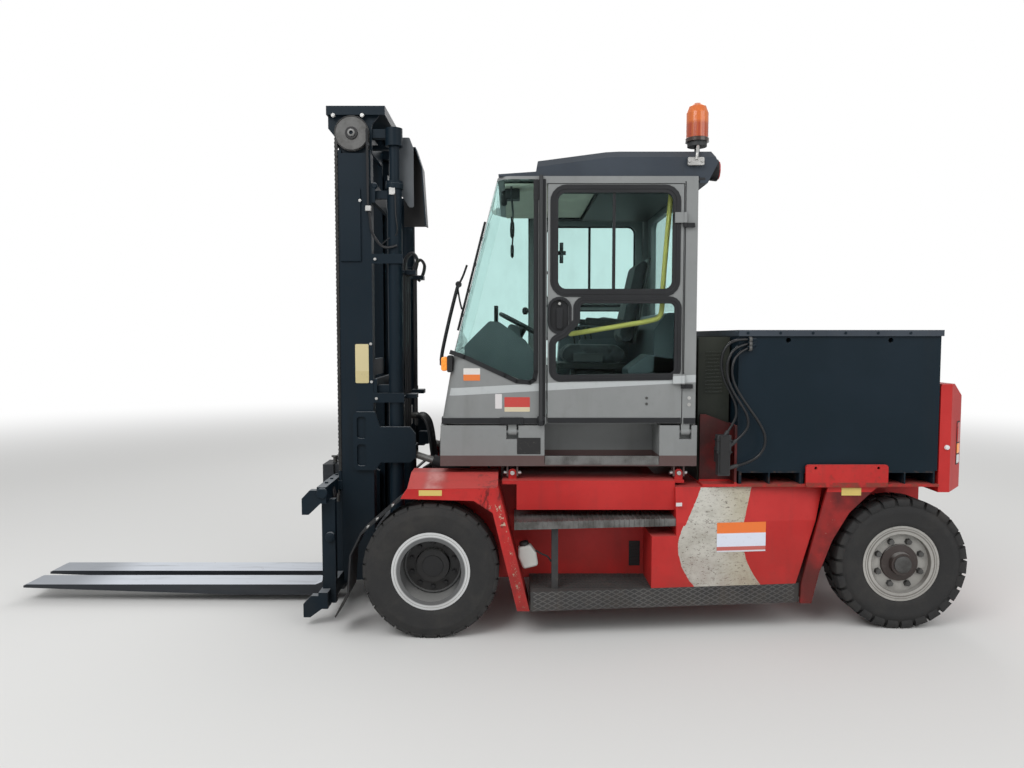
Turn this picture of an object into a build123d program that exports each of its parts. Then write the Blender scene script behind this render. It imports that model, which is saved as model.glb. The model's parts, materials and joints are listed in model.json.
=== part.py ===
from build123d import *
import math
import os

# Electric counterbalance forklift with a two-stage mast, an operator's cab and a battery over the rear axle.
# Millimetres. Stations are measured from the front axle: x grows rearwards, y to the truck's right, z up from
# the ground. save() moves every finished piece so that the overall box is centred on x.

# Driving dimensions
wheelbase = 2810.0
fork_length = 2000.0
load_distance = 771.0
rear_overhang = 420.0
fender_half_width = 900.0
rear_half_width = 750.0
frame_half_width = 545.0
running_gap = 0.3
play = 6.0

overall_length = fork_length + load_distance + wheelbase + rear_overhang
row_shift = -overall_length / 2 + fork_length + load_distance

# Wheels
tyre_radius = 397.5
tyre_width = 215.0
rim_radius = 229.0
bead_seat_radius = 190.5
rim_width = 190.0
front_wheel_y = 779.0
rear_wheel_y = 624.0
front_disc_inset = 158.0
rear_disc_inset = 34.0
rear_lug_count = 40
hub_bore = 55.0
spindle_radius = 34.0
kingpin_y = 478.0

# Mast
mast_half_width = 375.0
mast_front_x = -600.0
rail_depth = 188.0
rail_flange = 28.0
rail_web = 25.0
rail_reach = 85.0
mast_foot_z = 190.0
mast_height = 3195.0
outer_rail_top_z = mast_height - 290.0
pivot_x = -262.0
pivot_z = 400.0
sheave_radius = 108.0
sheave_x = -530.0
sheave_z = mast_height - 167.0
sheave_y = 361.0
sheave_width = 30.0
chain_width = 26.0
lift_barrel_radius = 47.0
lift_rod_radius = 32.0
lift_cylinder_x = -273.0
lift_cylinder_y = 318.0

mast_pin_radius = 24.95
tilt_anchor = (250.0, 872.0)
tilt_eye = (-170.0, 1010.0)
tilt_y = 350.0
tilt_pin = 15.6
tilt_barrel_radius = 38.0
tilt_rod_radius = 22.0
bracket_thickness = 26.0
clamp_heights = (1340.0, 2220.0)
# cross members of the outer mast: foot height, height
outer_crosses = ((210.0, 310.0), (1370.0, 120.0), (outer_rail_top_z - 305.0, 120.0))
chain_anchor_z = outer_rail_top_z + 20.0
lift_head_z = sheave_z + 40.0
steer_beam_top = 535.0

# Carriage and forks
carriage_half_width = 690.0
bar_front_x = -701.0
bar_depth = 56.0
bar_height = 100.0
lower_bar_z = 110.0
upper_bar_z = 756.0
fork_width = 200.0
fork_thickness = 70.0
fork_y = 150.0
fork_floor_z = 48.0
chain_foot_z = 900.0

# Cab
cab_half_width = 732.0
cab_wall = 42.0
cab_corner_radius = 90.0
cab_floor_z = 1242.0
cab_rear_x = 1557.0
cab_seam = 8.0
glass_thickness = 6.0
door_front_x = 675.0
door_rear_x = 1479.0
door_top_z = 2649.0
door_thickness = 40.0
door_gap = 5.0
skirt_front_x = 46.0
skirt_rear_x = 1568.0
skirt_bottom_z = 992.0
cab_mount_z = 946.0
cab_mount_stations = (475.0, 1470.0)
tilt_stations = (475.0, 1500.0)
cab_pin_y = 20.0 - cab_half_width
cab_pin_z = 1196.0
ceiling_z = 2690.0
cab_lug_inner_y = cab_half_width - 92.0
cab_lug_outer_y = cab_half_width - 32.0
cab_beam_y = cab_half_width + 28.0
grab_bar_y = cab_half_width + 20.0
roof_top_z = 2842.0
beacon_place = (1585.0, -560.0)
beacon_z = 2924.0

# Platform, battery and sides
deck_z = 888.0
deck_thickness = 16.0
pallet_height = 78.0
battery_front_x = 1803.0
battery_rear_x = 2989.0
battery_height = 796.0
lid_thickness = 36.0
step_floor_z = 170.0
step_deck_z = 285.0
step_front_x = 580.0
tread_top_z = 692.0
step_rear_x = 2190.0
tank_front_x = 1436.0
crease_z = 668.0

rear_axle_x = wheelbase
battery_floor_z = deck_z + pallet_height
battery_top_z = battery_floor_z + battery_height
counterweight_x = battery_rear_x + 9.0
side_slope = (fender_half_width - (rear_half_width - 10)) / (step_rear_x - step_front_x)


def block(x0, x1, y0, y1, z0, z1):
    """Box between two corners."""
    centre = ((x0 + x1) / 2, (y0 + y1) / 2, (z0 + z1) / 2)
    return Pos(*centre) * Box(abs(x1 - x0), abs(y1 - y0), abs(z1 - z0))


def polygon(points, radius=0.0):
    """Flat face through points, with every corner rounded by the radius."""
    face = Face(Wire.make_polygon([Vector(*p) for p in points], close=True))
    return face.fillet_2d(radius, face.vertices()) if radius else face


def side_prism(points, y0, y1, radius=0.0):
    """Side view outline of (x, z) points, carried across from y0 to y1."""
    face = polygon([(x, y0, z) for x, z in points], radius)
    return extrude(face, amount=y1 - y0, dir=(0, 1, 0))


def plan_prism(points, z0, z1, radius=0.0):
    """Plan outline of (x, y) points, carried up from z0 to z1."""
    face = polygon([(x, y, z0) for x, y in points], radius)
    return extrude(face, amount=z1 - z0, dir=(0, 0, 1))


def front_prism(points, x0, x1, radius=0.0):
    """Front view outline of (y, z) points, carried rearwards from x0 to x1."""
    face = polygon([(x0, y, z) for y, z in points], radius)
    return extrude(face, amount=x1 - x0, dir=(1, 0, 0))


def rod(start, end, radius):
    """Round bar from one point to another."""
    start, end = Vector(*start), Vector(*end)
    plane = Plane(origin=start, z_dir=end - start)
    return plane * Cylinder(radius, (end - start).length, align=(Align.CENTER, Align.CENTER, Align.MIN))


def pipe(start, end, radius, bore):
    """Round tube from one point to another."""
    return rod(start, end, radius) - rod(start, end, bore)


def turned(profile, x, y, z):
    """Solid of revolution about a cross axis, from (radius, offset) points, set at a wheel's centre."""
    face = polygon([(r, offset, 0) for r, offset in profile])
    return Pos(x, y, z) * revolve(face, Axis.Y, 360)


def other_side(solid):
    return mirror(solid, about=Plane.XZ)


def both(solid):
    return [solid, other_side(solid)]


def joined(solids):
    total = solids[0]
    for solid in solids[1:]:
        total = total + solid
    return total


def save(node, solids):
    """Write one node's solids, moved from the front axle to the middle of the overall length."""
    found = []
    for shape in solids:
        found += list(shape.solids())
    export_step(Pos(row_shift, 0, 0) * Compound(children=found), f"parts/{node}.step")


def side_y(x, inset=0.0):
    """Half width of the body's side at a station: it narrows from the front fender to the rear wheel."""
    return fender_half_width - side_slope * (x - step_front_x) - inset


def strip(points, thickness):
    """Side view outline of a bent plate that follows points, thickened towards its left."""
    offset = []
    for i, (x, z) in enumerate(points):
        x0, z0 = points[max(i - 1, 0)]
        x1, z1 = points[min(i + 1, len(points) - 1)]
        length = math.hypot(x1 - x0, z1 - z0)
        offset.append((x - (z1 - z0) / length * thickness, z + (x1 - x0) / length * thickness))
    return points + offset[::-1]


# Chassis: a box frame between the wheels with the battery deck at the rear

def chassis_frame():
    wall = 20.0
    front_x, rear_x = -110.0, 2330.0
    low_z, high_z = 262.0, deck_z - deck_thickness
    axle_top = tyre_radius + 102
    outline = [(front_x, axle_top), (120, axle_top), (190, low_z), (2100, low_z), (rear_x, 640),
               (rear_x, high_z), (60, high_z), (front_x, 780)]
    sides = [side_prism(outline, y, y + wall) for y in (-frame_half_width, frame_half_width - wall)]
    cross = frame_half_width - wall / 2
    front_wall = block(front_x, front_x + wall, -cross, cross, axle_top + 80, 780)
    drive_floor = block(190, 410, -cross, cross, low_z, low_z + wall)
    # pumps, tank and electrics: one closed mass between the side plates
    inner_mass = side_prism([(400, low_z), (2100, low_z), (rear_x, 640), (rear_x, high_z), (1395, high_z),
                             (1395, 800), (420, 800), (420, high_z), (400, high_z)], -cross, cross)
    body = joined(sides + [front_wall, drive_floor, inner_mass])
    # beam along each side of the cab, on a shelf off the frame, with the lugs that carry the cab
    beam_rear = tank_front_x - running_gap
    beam = block(415, beam_rear, -cab_beam_y, -frame_half_width, deck_z, 910)
    beam += block(500, beam_rear, -cab_beam_y, 30 - cab_beam_y, 735, 910)
    beam += block(415, beam_rear, -frame_half_width, -frame_half_width + wall, high_z, 910)
    beam += block(1400, 1500, 16 - cab_half_width, -600, deck_z, deck_z + 16)
    for x in cab_mount_stations:
        beam += block(x - 24, x + 24, -cab_lug_outer_y, -cab_lug_inner_y, deck_z, 940)
        beam += rod((x, -cab_lug_outer_y, cab_mount_z), (x, -cab_lug_inner_y, cab_mount_z), 24)
    body = joined([body] + both(beam))
    # rails over the rear wheels to the counterweight, and the cross beam that rests on the rear axle
    for y in (-330, 250):
        body += block(rear_x - 2, counterweight_x - running_gap, y, y + 80, high_z - 60, high_z)
        body += block(2720, 2900, y + 20, y + 60, 560, high_z - 58)
    body += block(2720, 2900, -310, 310, steer_beam_top + running_gap, 580)
    # brackets that carry the mast's pivot pins
    for y in (-262, 212):
        body += side_prism([(front_x + 5, 300), (front_x + 5, 620), (-215, 470), (pivot_x - 40, pivot_z + 28),
                            (pivot_x - 40, pivot_z - 28), (-215, 330)], y, y + 50)
        body += block(front_x - 20, front_x + 10, y, y + 50, 300, 640)
    body += block(front_x - 20, front_x + 5, -262, 262, 560, 640)
    body -= rod((pivot_x, -300, pivot_z), (pivot_x, 300, pivot_z), mast_pin_radius + 0.05)
    # ears for the rear pins of the tilt cylinders
    ear_x, ear_z = tilt_anchor
    ear = [(ear_x - 34, ear_z - 22), (ear_x - 34, ear_z + 20), (ear_x - 12, ear_z + 37),
           (ear_x + 30, ear_z + 37), (410, high_z - 4), (410, 770), (330, 770)]
    for y in (-tilt_y - 34, -tilt_y + 22, tilt_y - 34, tilt_y + 22):
        body += side_prism(ear, y, y + 12)
    for y in (-tilt_y, tilt_y):
        body -= rod((ear_x, y - 50, ear_z), (ear_x, y + 50, ear_z), tilt_pin + 0.4)
    return [body]


def battery_platform():
    half = rear_half_width + 8
    front, rear = battery_front_x - 203, counterweight_x - running_gap
    deck = block(front, rear, -half, half, deck_z - deck_thickness, deck_z)
    front_wall = block(battery_front_x - 17, battery_front_x - 3, -half, half, deck_z - 1, 1236)
    gusset = side_prism([(front + 4, deck_z - 1), (battery_front_x - 13, deck_z - 1),
                         (battery_front_x - 13, 1236), (front + 40, 1292), (front + 4, 1292)], -660, -646)
    low_z, high_z = deck_z - deck_thickness, deck_z + 118
    left_x, right_x = battery_front_x + 402, battery_front_x + 887
    retainer = side_prism([(left_x, low_z), (right_x, low_z), (right_x, high_z), (left_x, high_z)],
                          -half - 16, -half + 2, 18)
    for x in (left_x + 57, right_x - 58):
        retainer -= rod((x, -half - 40, high_z - 20), (x, -half + 40, high_z - 20), 9)
    retainer -= block(left_x - 5, right_x + 5, -half, -half + 40, deck_z, high_z + 50)
    deck = joined([deck, front_wall] + both(gusset) + both(retainer))
    return [deck]


def front_fenders():
    half = fender_half_width
    plate = 15.0
    face = [(-168, 830), (-129, 887), (380, 892), (391, 905), (575, 172), (502, 172), (361, 748), (252, 818)]
    outer = side_prism(face, -half, -half + plate)
    top = front_prism([(-half, 876), (-half, 887), (-705, 950), (-560, 950), (-560, 938), (-705, 938)],
                      -129, 391)
    arch = [(-162, 832), (252, 820), (361, 750), (504, 172)]
    liner = side_prism(strip(arch, 12.0), -half + 2, -640)
    back = side_prism(strip([(391, 900), (573, 174)], -8.0), -half + 2, -640)
    link = side_prism([(-162, 832), (-129, 887), (-118, 876), (-150, 832)], -half + 2, -650)
    side = joined([outer, top, liner, back, link])
    post = block(150, 210, -562, -frame_half_width - running_gap, 790, 944)
    return both(side + post)


def front_aprons():
    """Rubber flap ahead of each front wheel, hanging from the fender's front edge."""
    # its top end lies under the fender's liner
    line = [(-100, 819.7), (-160, 821.4), (-212, 779), (-401, 613), (-462, 490), (-478, 267), (-555, 122)]
    return both(side_prism(strip(line, -10.0), -fender_half_width + 30, -650))


def rear_fenders():
    half = rear_half_width
    top_z = deck_z - deck_thickness - running_gap
    face = [(2345, top_z), (2640, top_z), (2600, 838), (2473, 715), (2377, 550), (2306, 359), (2261, 168),
            (2195, 168), (2200, 296)]
    outer = side_prism(face, -half - 6, -half + 14)
    arch = [(2600, 846), (2473, 722), (2377, 557), (2306, 366), (2261, 170)]
    # set forward of the face's edge, for the steered tyre
    line = [(x - 26, z) for x, z in strip(arch, -10.0)]
    liner = side_prism(line, -half + 2, -frame_half_width - running_gap)
    return both(outer + liner)


def side_tanks():
    """Body side boxes: vertical below the crease, leaning in above it, with a lower nose behind the step."""
    inner = frame_half_width + running_gap
    top_z = deck_z - deck_thickness - running_gap

    def section(z, rear, lean):
        return polygon([(tank_front_x, -inner, z), (tank_front_x, -side_y(tank_front_x, lean), z),
                        (rear, -side_y(rear, lean), z), (rear, -inner, z)])

    # columns: height, rear end, lean inwards
    low, crease, top = (step_deck_z, 2170, 0), (crease_z, 2286, 0), (top_z, 2340, 42)
    body = loft([section(*low), section(*crease)]) + loft([section(*crease), section(*top)])
    nose = plan_prism([(1290, -inner), (1290, -side_y(1290)), (tank_front_x + 4, -side_y(tank_front_x + 4)),
                       (tank_front_x + 4, -inner)], step_deck_z, 592)
    return both(body + nose)


def lower_steps():
    inner = frame_half_width + running_gap
    low = plan_prism([(step_front_x, -fender_half_width), (step_rear_x, -side_y(step_rear_x)),
                      (step_rear_x, -inner), (step_front_x, -inner)], step_floor_z, step_deck_z)
    low -= plan_prism([(step_front_x + 16, -fender_half_width + 18),
                       (step_rear_x - 16, -side_y(step_rear_x, 18)),
                       (step_rear_x - 16, -inner - 16), (step_front_x + 16, -inner - 16)],
                      step_floor_z - 1, step_deck_z - 8)
    # post that carries the tread step, up inside the tread's hollow
    low += block(704, 742, -840, -796, step_deck_z - 9, tread_top_z - 12 - running_gap)
    return both(low)


def tread_steps():
    front, rear = 486.0, tank_front_x - running_gap
    inner = frame_half_width + running_gap
    tread = plan_prism([(front, -side_y(front, 12)), (rear, -side_y(rear, 12)), (rear, -inner),
                        (front, -inner)], tread_top_z - 44, tread_top_z)
    tread -= plan_prism([(front + 14, -side_y(front, 22)), (rear - 14, -side_y(rear, 22)),
                         (rear - 14, -frame_half_width - 14), (front + 14, -frame_half_width - 14)],
                        tread_top_z - 52, tread_top_z - 12)
    return both(tread)


# Cab skirt below the cab, with the entrance recess on each side

def cab_skirt():
    half = cab_half_width + 3
    top = cab_floor_z - cab_seam
    shell = side_prism([(skirt_front_x, skirt_bottom_z), (skirt_rear_x, skirt_bottom_z), (skirt_rear_x, top),
                        (skirt_front_x + 4, top)], -half, half)
    shell -= block(skirt_front_x + 34, skirt_rear_x - 30, -half + 30, half - 30, skirt_bottom_z - 1, top + 1)
    shell += block(skirt_front_x + 20, skirt_rear_x - 20, -half + 20, half - 20,
                   skirt_bottom_z, skirt_bottom_z + 12)
    for side in (-1, 1):
        outer_y, inner_y = side * half, side * (half - 250)
        shell += block(650, 1361, outer_y, inner_y, skirt_bottom_z, top)
        shell -= block(665, 1346, outer_y + side, inner_y + side * 15, skirt_bottom_z + 22, top + 1)
    # clevis plates that straddle the lugs on the frame's beams
    for x in cab_mount_stations:
        for side in (-1, 1):
            for offset in (-24.3 - 10, 24.3):
                shell += block(x + offset, x + offset + 10,
                               side * cab_lug_inner_y, side * (cab_lug_outer_y + 6),
                               cab_mount_z - 20, skirt_bottom_z + 1)
    # pockets on the left side, each with the pin that the cab tilts on
    for x in tilt_stations:
        shell += block(x - 52, x + 52, -half, -half + 60, 1140, top)
        shell -= block(x - 36, x + 36, -half - 1, -half + 48, 1152, top + 1)
        shell += rod((x - 40, cab_pin_y, cab_pin_z), (x + 40, cab_pin_y, cab_pin_z), 12)
    return [shell]


def electrics_housing():
    front, rear = skirt_rear_x + 30, battery_front_x - 17 - running_gap
    body = side_prism([(front, deck_z + running_gap), (rear, deck_z + running_gap), (rear, 1759),
                       (front, 1759)], -620, 620)
    return [body]


# Battery on its pallet

def battery_case():
    half = rear_half_width
    body = block(battery_front_x, battery_rear_x, -half, half, battery_floor_z, battery_top_z)
    for x in (290, 890):
        body -= rod((battery_front_x + x, -half - 1, battery_top_z - 24),
                    (battery_front_x + x, -half + 60, battery_top_z - 24), 15)
        body -= rod((battery_front_x + x, half + 1, battery_top_z - 24),
                    (battery_front_x + x, half - 60, battery_top_z - 24), 15)
    for points in cable_routes.values():
        body += gland(points[0], points[1])
    return [body]


def battery_lid():
    half = rear_half_width + 16
    lid = block(battery_front_x - 4, battery_rear_x + 8, -half, half,
                battery_top_z, battery_top_z + lid_thickness)
    return [lid]


def battery_pallet():
    half = rear_half_width - 2
    start, end = battery_front_x + 12, battery_rear_x - 12
    pallet = block(start, end, -half, half, battery_floor_z - 12, battery_floor_z)
    # bearers beside the fork pockets, columns: distance behind the pallet's front, thickness
    for behind, thickness in ((0, 16), (177, 8), (361, 24), (829, 24), (981, 8), (end - start - 9, 9)):
        front = start + behind
        pallet += block(front, front + thickness, -half, half, deck_z, battery_floor_z - 11)
    return [pallet]


def counterweight():
    half = rear_half_width
    rear = wheelbase + rear_overhang
    front = counterweight_x
    plan = [(front, -half), (front + 66, -half), (rear, -560), (rear, 560), (front + 66, half), (front, half)]
    block_top = plan_prism(plan, deck_z - 50, 1480)
    slope = side_prism([(front - 98, 1200), (front + 6, 1481), (front + 102, 1481), (rear + 1, 1400),
                        (rear + 60, 1400), (rear + 60, 1600), (front - 98, 1600)], -half - 10, half + 10)
    block_top -= slope
    keel = side_prism([(front - 38, 330), (rear - 40, 330), (rear - 20, 420), (rear - 20, deck_z - 49),
                       (front - 38, deck_z - 49)], -138, 138)
    body = block_top + keel
    jaw = block(rear - 90, rear + 10, -60, 60, 455, 505)
    body -= jaw
    body -= rod((rear - 60, 0, 320), (rear - 60, 0, 560), 16)
    return [body]


# Axles

def drive_axle():
    z = tyre_radius
    housing = rod((0, -600, z), (0, 600, z), 78)
    housing += rod((0, -170, z), (0, 170, z), 165)
    for side in (-1, 1):
        housing += rod((0, side * 575, z), (0, side * 645, z), 120)
        housing += rod((0, side * 600, z), (0, side * 700, z), hub_bore)
        housing += block(-70, 70, side * 500, side * 560, z, z + 102 - running_gap)
    housing += rod((100, 0, 450), (385, 0, 450), 150)
    return [housing]


def steer_axle():
    z = tyre_radius
    beam = block(rear_axle_x - 60, rear_axle_x + 60, -385, 385, z - 55, z + 55)
    for side in (-1, 1):
        yoke = block(rear_axle_x - 50, rear_axle_x + 50, side * 380, side * 520, z - 105, z + 105)
        yoke -= block(rear_axle_x - 60, rear_axle_x + 60, side * 425, side * 540, z - 72, z + 72)
        beam += yoke
        beam -= rod((rear_axle_x, side * kingpin_y, z - 120), (rear_axle_x, side * kingpin_y, z + 120), 20.3)
    beam += block(rear_axle_x - 60, rear_axle_x + 60, -150, 150, z + 50, steer_beam_top)
    return [beam]


def knuckle(side):
    z = tyre_radius
    post = rod((rear_axle_x, side * kingpin_y, z - 110), (rear_axle_x, side * kingpin_y, z + 110), 20)
    post += rod((rear_axle_x, side * kingpin_y, z - 71.7), (rear_axle_x, side * kingpin_y, z + 71.7), 38)
    post += rod((rear_axle_x, side * kingpin_y, z), (rear_axle_x, side * 668, z), spindle_radius)
    return [post]


def faceted_ring(profile, steps):
    """Solid of flat facets about a cross axis, from a closed outline of (radius, offset) points."""
    turns = [2 * math.pi * i / steps for i in range(steps)]
    rings = [[Vector(r * math.sin(turn), offset, -r * math.cos(turn)) for r, offset in profile]
             for turn in turns]
    faces = []
    for ring, following in zip(rings, rings[1:] + rings[:1]):
        for i, corner in enumerate(ring):
            after = (i + 1) % len(ring)
            wire = Wire.make_polygon([corner, ring[after], following[after], following[i]], close=True)
            faces.append(Face(wire))
    return Solid(Shell(faces))


def toothed_ring(root, tip, inner, offset, width, count):
    """Ring of shoulder lugs about a cross axis: a toothed outline carried across by the width."""
    points = []
    for i in range(count):
        for share, radius in ((0, tip), (0.64, tip), (0.74, root), (0.9, root)):
            turn = 2 * math.pi * (i + share) / count
            points.append((radius * math.sin(turn), offset, -radius * math.cos(turn)))
    hole = [(inner * math.sin(2 * math.pi * i / count), offset, -inner * math.cos(2 * math.pi * i / count))
            for i in range(count)]
    face = Face(Wire.make_polygon(points, close=True), [Wire.make_polygon(hole, close=True)])
    return extrude(face, amount=width, dir=(0, 1, 0))


def tyre(x, y, lug_count=0):
    """Tyre of flat facets; the lugs stand on both shoulders, over a lower middle."""
    half = tyre_width / 2
    bead = rim_width / 2 - 14
    steps = 40
    inside = (bead_seat_radius + running_gap) / math.cos(math.pi / steps)
    top = tyre_radius - 12 if lug_count else tyre_radius
    profile = [(inside, -bead), (232, -bead), (275, -half + 2), (335, -half + 2), (380, -half + 14),
               (top, -half + 34)]
    body = faceted_ring(profile + [(r, -offset) for r, offset in reversed(profile)], steps)
    if lug_count:
        lug = toothed_ring(top - 18, tyre_radius, top - 30, -half + 12, 66, lug_count)
        body = body + lug + mirror(lug, about=Plane.XZ)
    return Pos(x, y, tyre_radius) * body


def rim(side, x, y, disc_inset):
    """Rim with its disc; offsets count outwards from the wheel's middle plane."""
    half = rim_width / 2
    seat = bead_seat_radius
    lip = [(seat - 12, -half), (rim_radius, -half), (rim_radius, -half + 10),
           (seat, -half + 14 - running_gap),
           (seat, half - 14 + running_gap), (rim_radius, half - 10), (rim_radius, half), (seat - 12, half),
           (seat - 12, -half)]
    barrel = [(offset_r, side * offset) for offset_r, offset in lip[:-1]]
    disc_at = half - disc_inset
    disc = [(36, disc_at - 14), (seat - 6, disc_at - 14), (seat - 6, disc_at), (36, disc_at)]
    body = turned(barrel, x, y, tyre_radius)
    body += turned([(r, side * offset) for r, offset in disc], x, y, tyre_radius)
    return body


def front_wheel_rim(side):
    y = side * front_wheel_y
    half = rim_width / 2
    body = rim(side, 0, y, front_disc_inset)
    disc_at = half - front_disc_inset
    cap = [(0, disc_at - 14), (160, disc_at - 14), (160, disc_at + 12), (104, disc_at + 12),
           (98, disc_at + 41),
           (60, disc_at + 47), (0, disc_at + 47)]
    body += turned([(r, side * offset) for r, offset in cap], 0, y, tyre_radius)
    bore = hub_bore + running_gap
    drum = [(bore, disc_at - 60), (112, disc_at - 60), (112, disc_at - 13), (bore, disc_at - 13)]
    body += turned([(r, side * offset) for r, offset in drum], 0, y, tyre_radius)
    return body


def rear_wheel_rim(side):
    y = side * rear_wheel_y
    half = rim_width / 2
    body = rim(side, rear_axle_x, y, rear_disc_inset)
    disc_at = half - rear_disc_inset
    bore = spindle_radius + running_gap
    hub = [(bore, -70), (80, -70), (110, disc_at - 14), (110, disc_at + 14), (70, disc_at + 24),
           (66, disc_at + 52), (0, disc_at + 52), (0, disc_at - 10), (bore, disc_at - 10)]
    body += turned([(r, side * offset) for r, offset in hub], rear_axle_x, y, tyre_radius)
    for i in range(8):
        angle = math.radians(22.5 + 45 * i)
        cx, cz = rear_axle_x + 137.5 * math.cos(angle), tyre_radius + 137.5 * math.sin(angle)
        body += rod((cx, y + side * (disc_at - 2), cz), (cx, y + side * (disc_at + 20), cz), 15)
    return body


# Cab

# side view of the cab's front, from its foot to above the windscreen
cab_front = [(50.0, cab_floor_z), (124.0, 1662.0), (394.0, ceiling_z + 30)]


def cab_body(inset=0.0):
    """Whole cab above its floor, or the space inside walls of the inset's thickness."""
    half = cab_half_width - inset
    outline = cab_front + [(cab_rear_x, ceiling_z + 30), (cab_rear_x, cab_floor_z)]
    face = Plane.XZ * make_face(Polyline(*outline, close=True))
    if inset:
        face = offset(face, amount=-inset, kind=Kind.INTERSECTION).faces()[0]
    body = extrude(Pos(0, half, 0) * face, amount=2 * half, dir=(0, -1, 0))
    front_edges = [e for e in body.edges() if abs(abs(e.center().Y) - half) < 1 and e.center().X < 330
                   and abs(e.tangent_at(0.5).Z) > 0.5]
    return fillet(front_edges, cab_corner_radius - inset)


def glazing_zone(grow=0.0):
    """Everything ahead of the door post that is glass: windscreen and both quarter lights."""
    return side_prism([(-200, 1668 - grow), (118, 1662 - grow), (560, 1490 - grow), (607 + grow, 1508 - grow),
                       (607 + grow, 2672 + grow), (-200, 2672 + grow)], -1000, 1000)


def rear_window(grow=0.0):
    return front_prism([(-560 - grow, 1420 - grow), (560 + grow, 1420 - grow), (560 + grow, 2600 + grow),
                        (-560 - grow, 2600 + grow)], cab_rear_x - cab_wall - 20, cab_rear_x + 20, 60)


def cab_shell():
    shell = cab_body() - cab_body(cab_wall)
    shell -= block(-500, 3000, -1000, 1000, ceiling_z, 4000)
    shell -= glazing_zone(running_gap)
    shell -= rear_window(running_gap)
    shell -= block(door_front_x, door_rear_x, -1000, 1000, cab_floor_z - 1, door_top_z)
    # the floor runs across the doorway
    shell += block(90, cab_rear_x - 10,
                   -cab_half_width + door_thickness + 8, cab_half_width - door_thickness - 8,
                   cab_floor_z, cab_floor_z + cab_wall)
    # tongues that reach down to the tilt pins
    for x in tilt_stations:
        tongue = block(x - 25, x + 25, cab_pin_y - 14, cab_pin_y + 14, cab_pin_z, cab_floor_z + 1)
        tongue += rod((x - 25, cab_pin_y, cab_pin_z), (x + 25, cab_pin_y, cab_pin_z), 21)
        shell += tongue
        shell -= rod((x - 30, cab_pin_y, cab_pin_z), (x + 30, cab_pin_y, cab_pin_z), 12 + running_gap)
    return [shell]


def cab_roof():
    half = cab_half_width - 12
    base = ceiling_z + running_gap
    outline = [(398, base), (393, 2703), (612, 2718), (624, 2786), (1022, 2838), (1100, roof_top_z),
               (1640, roof_top_z), (1673, 2770), (1613, 2652), (cab_rear_x + 8, 2652), (cab_rear_x + 8, base)]
    roof = side_prism(outline, -half, half)
    bevel = [e for e in roof.edges() if abs(abs(e.center().Y) - half) < 1 and e.center().Z > 2740
             and abs(e.tangent_at(0.5).X) > 0.9]
    roof = chamfer(bevel, 40)
    return [roof]


def cab_glass():
    """Windscreen and quarter lights in one wrap-around pane, and the rear window."""
    foot, head = cab_front[1], cab_front[2]
    slope = Vector(head[0] - foot[0], 0, head[1] - foot[1]).normalized()
    across = Plane(origin=(foot[0], 0, foot[1]), x_dir=(slope.Z, 0, -slope.X), z_dir=slope)

    def section(inset):
        """Rounded plan of the cab at right angles to the slope, its front face at the plane's origin."""
        depth = 1600.0
        return Pos(depth / 2 + inset, 0) * RectangleRounded(depth, 2 * (cab_half_width - inset),
                                                            cab_corner_radius - inset)

    reach = 1400.0
    tube = extrude(across * (section(0) - section(glass_thickness)), amount=reach, both=True)
    wrap = tube & glazing_zone()
    back = rear_window() & block(cab_rear_x - 20, cab_rear_x - 14, -1000, 1000, 0, 4000)
    return list(wrap.solids()) + [back]


upper_light = [(734, 2030), (1419, 2030), (1419, 2603), (734, 2603)]
lower_light = [(722, 1524), (1436, 1536), (1436, 1962), (864, 1962), (864, 1845), (790, 1768), (722, 1730)]
handle_recess = [(698, 1790), (806, 1790), (806, 1976), (698, 1976)]


def door():
    """Left door: its windows, its handle recess and its hinge leaves."""
    outer = -cab_half_width
    panel = block(door_front_x + door_gap + 3, door_rear_x - door_gap, outer, outer + door_thickness,
                  cab_floor_z + door_gap, door_top_z - door_gap)
    panel -= side_prism(upper_light, outer - 5, outer + door_thickness + 5, 55)
    panel -= side_prism(lower_light, outer - 5, outer + door_thickness + 5, 36)
    panel -= side_prism(handle_recess, outer - 5, outer + 24, 50)
    for z in (1480, 2420):
        panel += rod((hinge_x, hinge_y, z), (hinge_x, hinge_y, z + 60), 12)
        panel += block(hinge_x - 60, hinge_x - 4, hinge_y - 5, outer + 2, z, z + 60)
        panel -= rod((hinge_x, hinge_y, z - 1), (hinge_x, hinge_y, z + 61), 6.5)
    return panel


hinge_x = door_rear_x + 1
hinge_y = -cab_half_width - 13


def door_glass():
    outer = -cab_half_width
    panes = []
    for outline, radius in ((upper_light, 55), (lower_light, 36)):
        panes.append(side_prism(outline, outer + 12, outer + 12 + glass_thickness, radius))
    return panes


def hinge_pins():
    """Pin and leaf on the cab's rear post for each door hinge."""
    pins = []
    for z in (1480, 2420):
        pin = rod((hinge_x, hinge_y, z - 26), (hinge_x, hinge_y, z + 62), 6)
        pin += rod((hinge_x, hinge_y, z - 26), (hinge_x, hinge_y, z - 1), 12)
        pin += block(hinge_x + 4, hinge_x + 56, hinge_y - 5, -cab_half_width - running_gap, z - 26, z - 1)
        pins.append(pin)
    return pins


def seat():
    x, z = 1010.0, cab_floor_z + cab_wall
    pedestal = block(x - 170, x + 170, -190, 190, z + running_gap, z + 300)
    cushion = block(x - 260, x + 240, -250, 250, z + 300, z + 420)
    back = side_prism([(x + 170, z + 420), (x + 250, z + 420), (x + 370, z + 1000), (x + 300, z + 1000)],
                      -230, 230)
    return [pedestal + cushion + back]


def console():
    z = cab_floor_z + cab_wall + running_gap
    dash = side_prism([(170, z), (560, z), (520, 1560), (300, 1730), (210, 1700)], -330, 330)
    return [dash]


column_base = (430.0, 1600.0)
column_lean = math.radians(28)
wheel_along = 260.0


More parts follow.
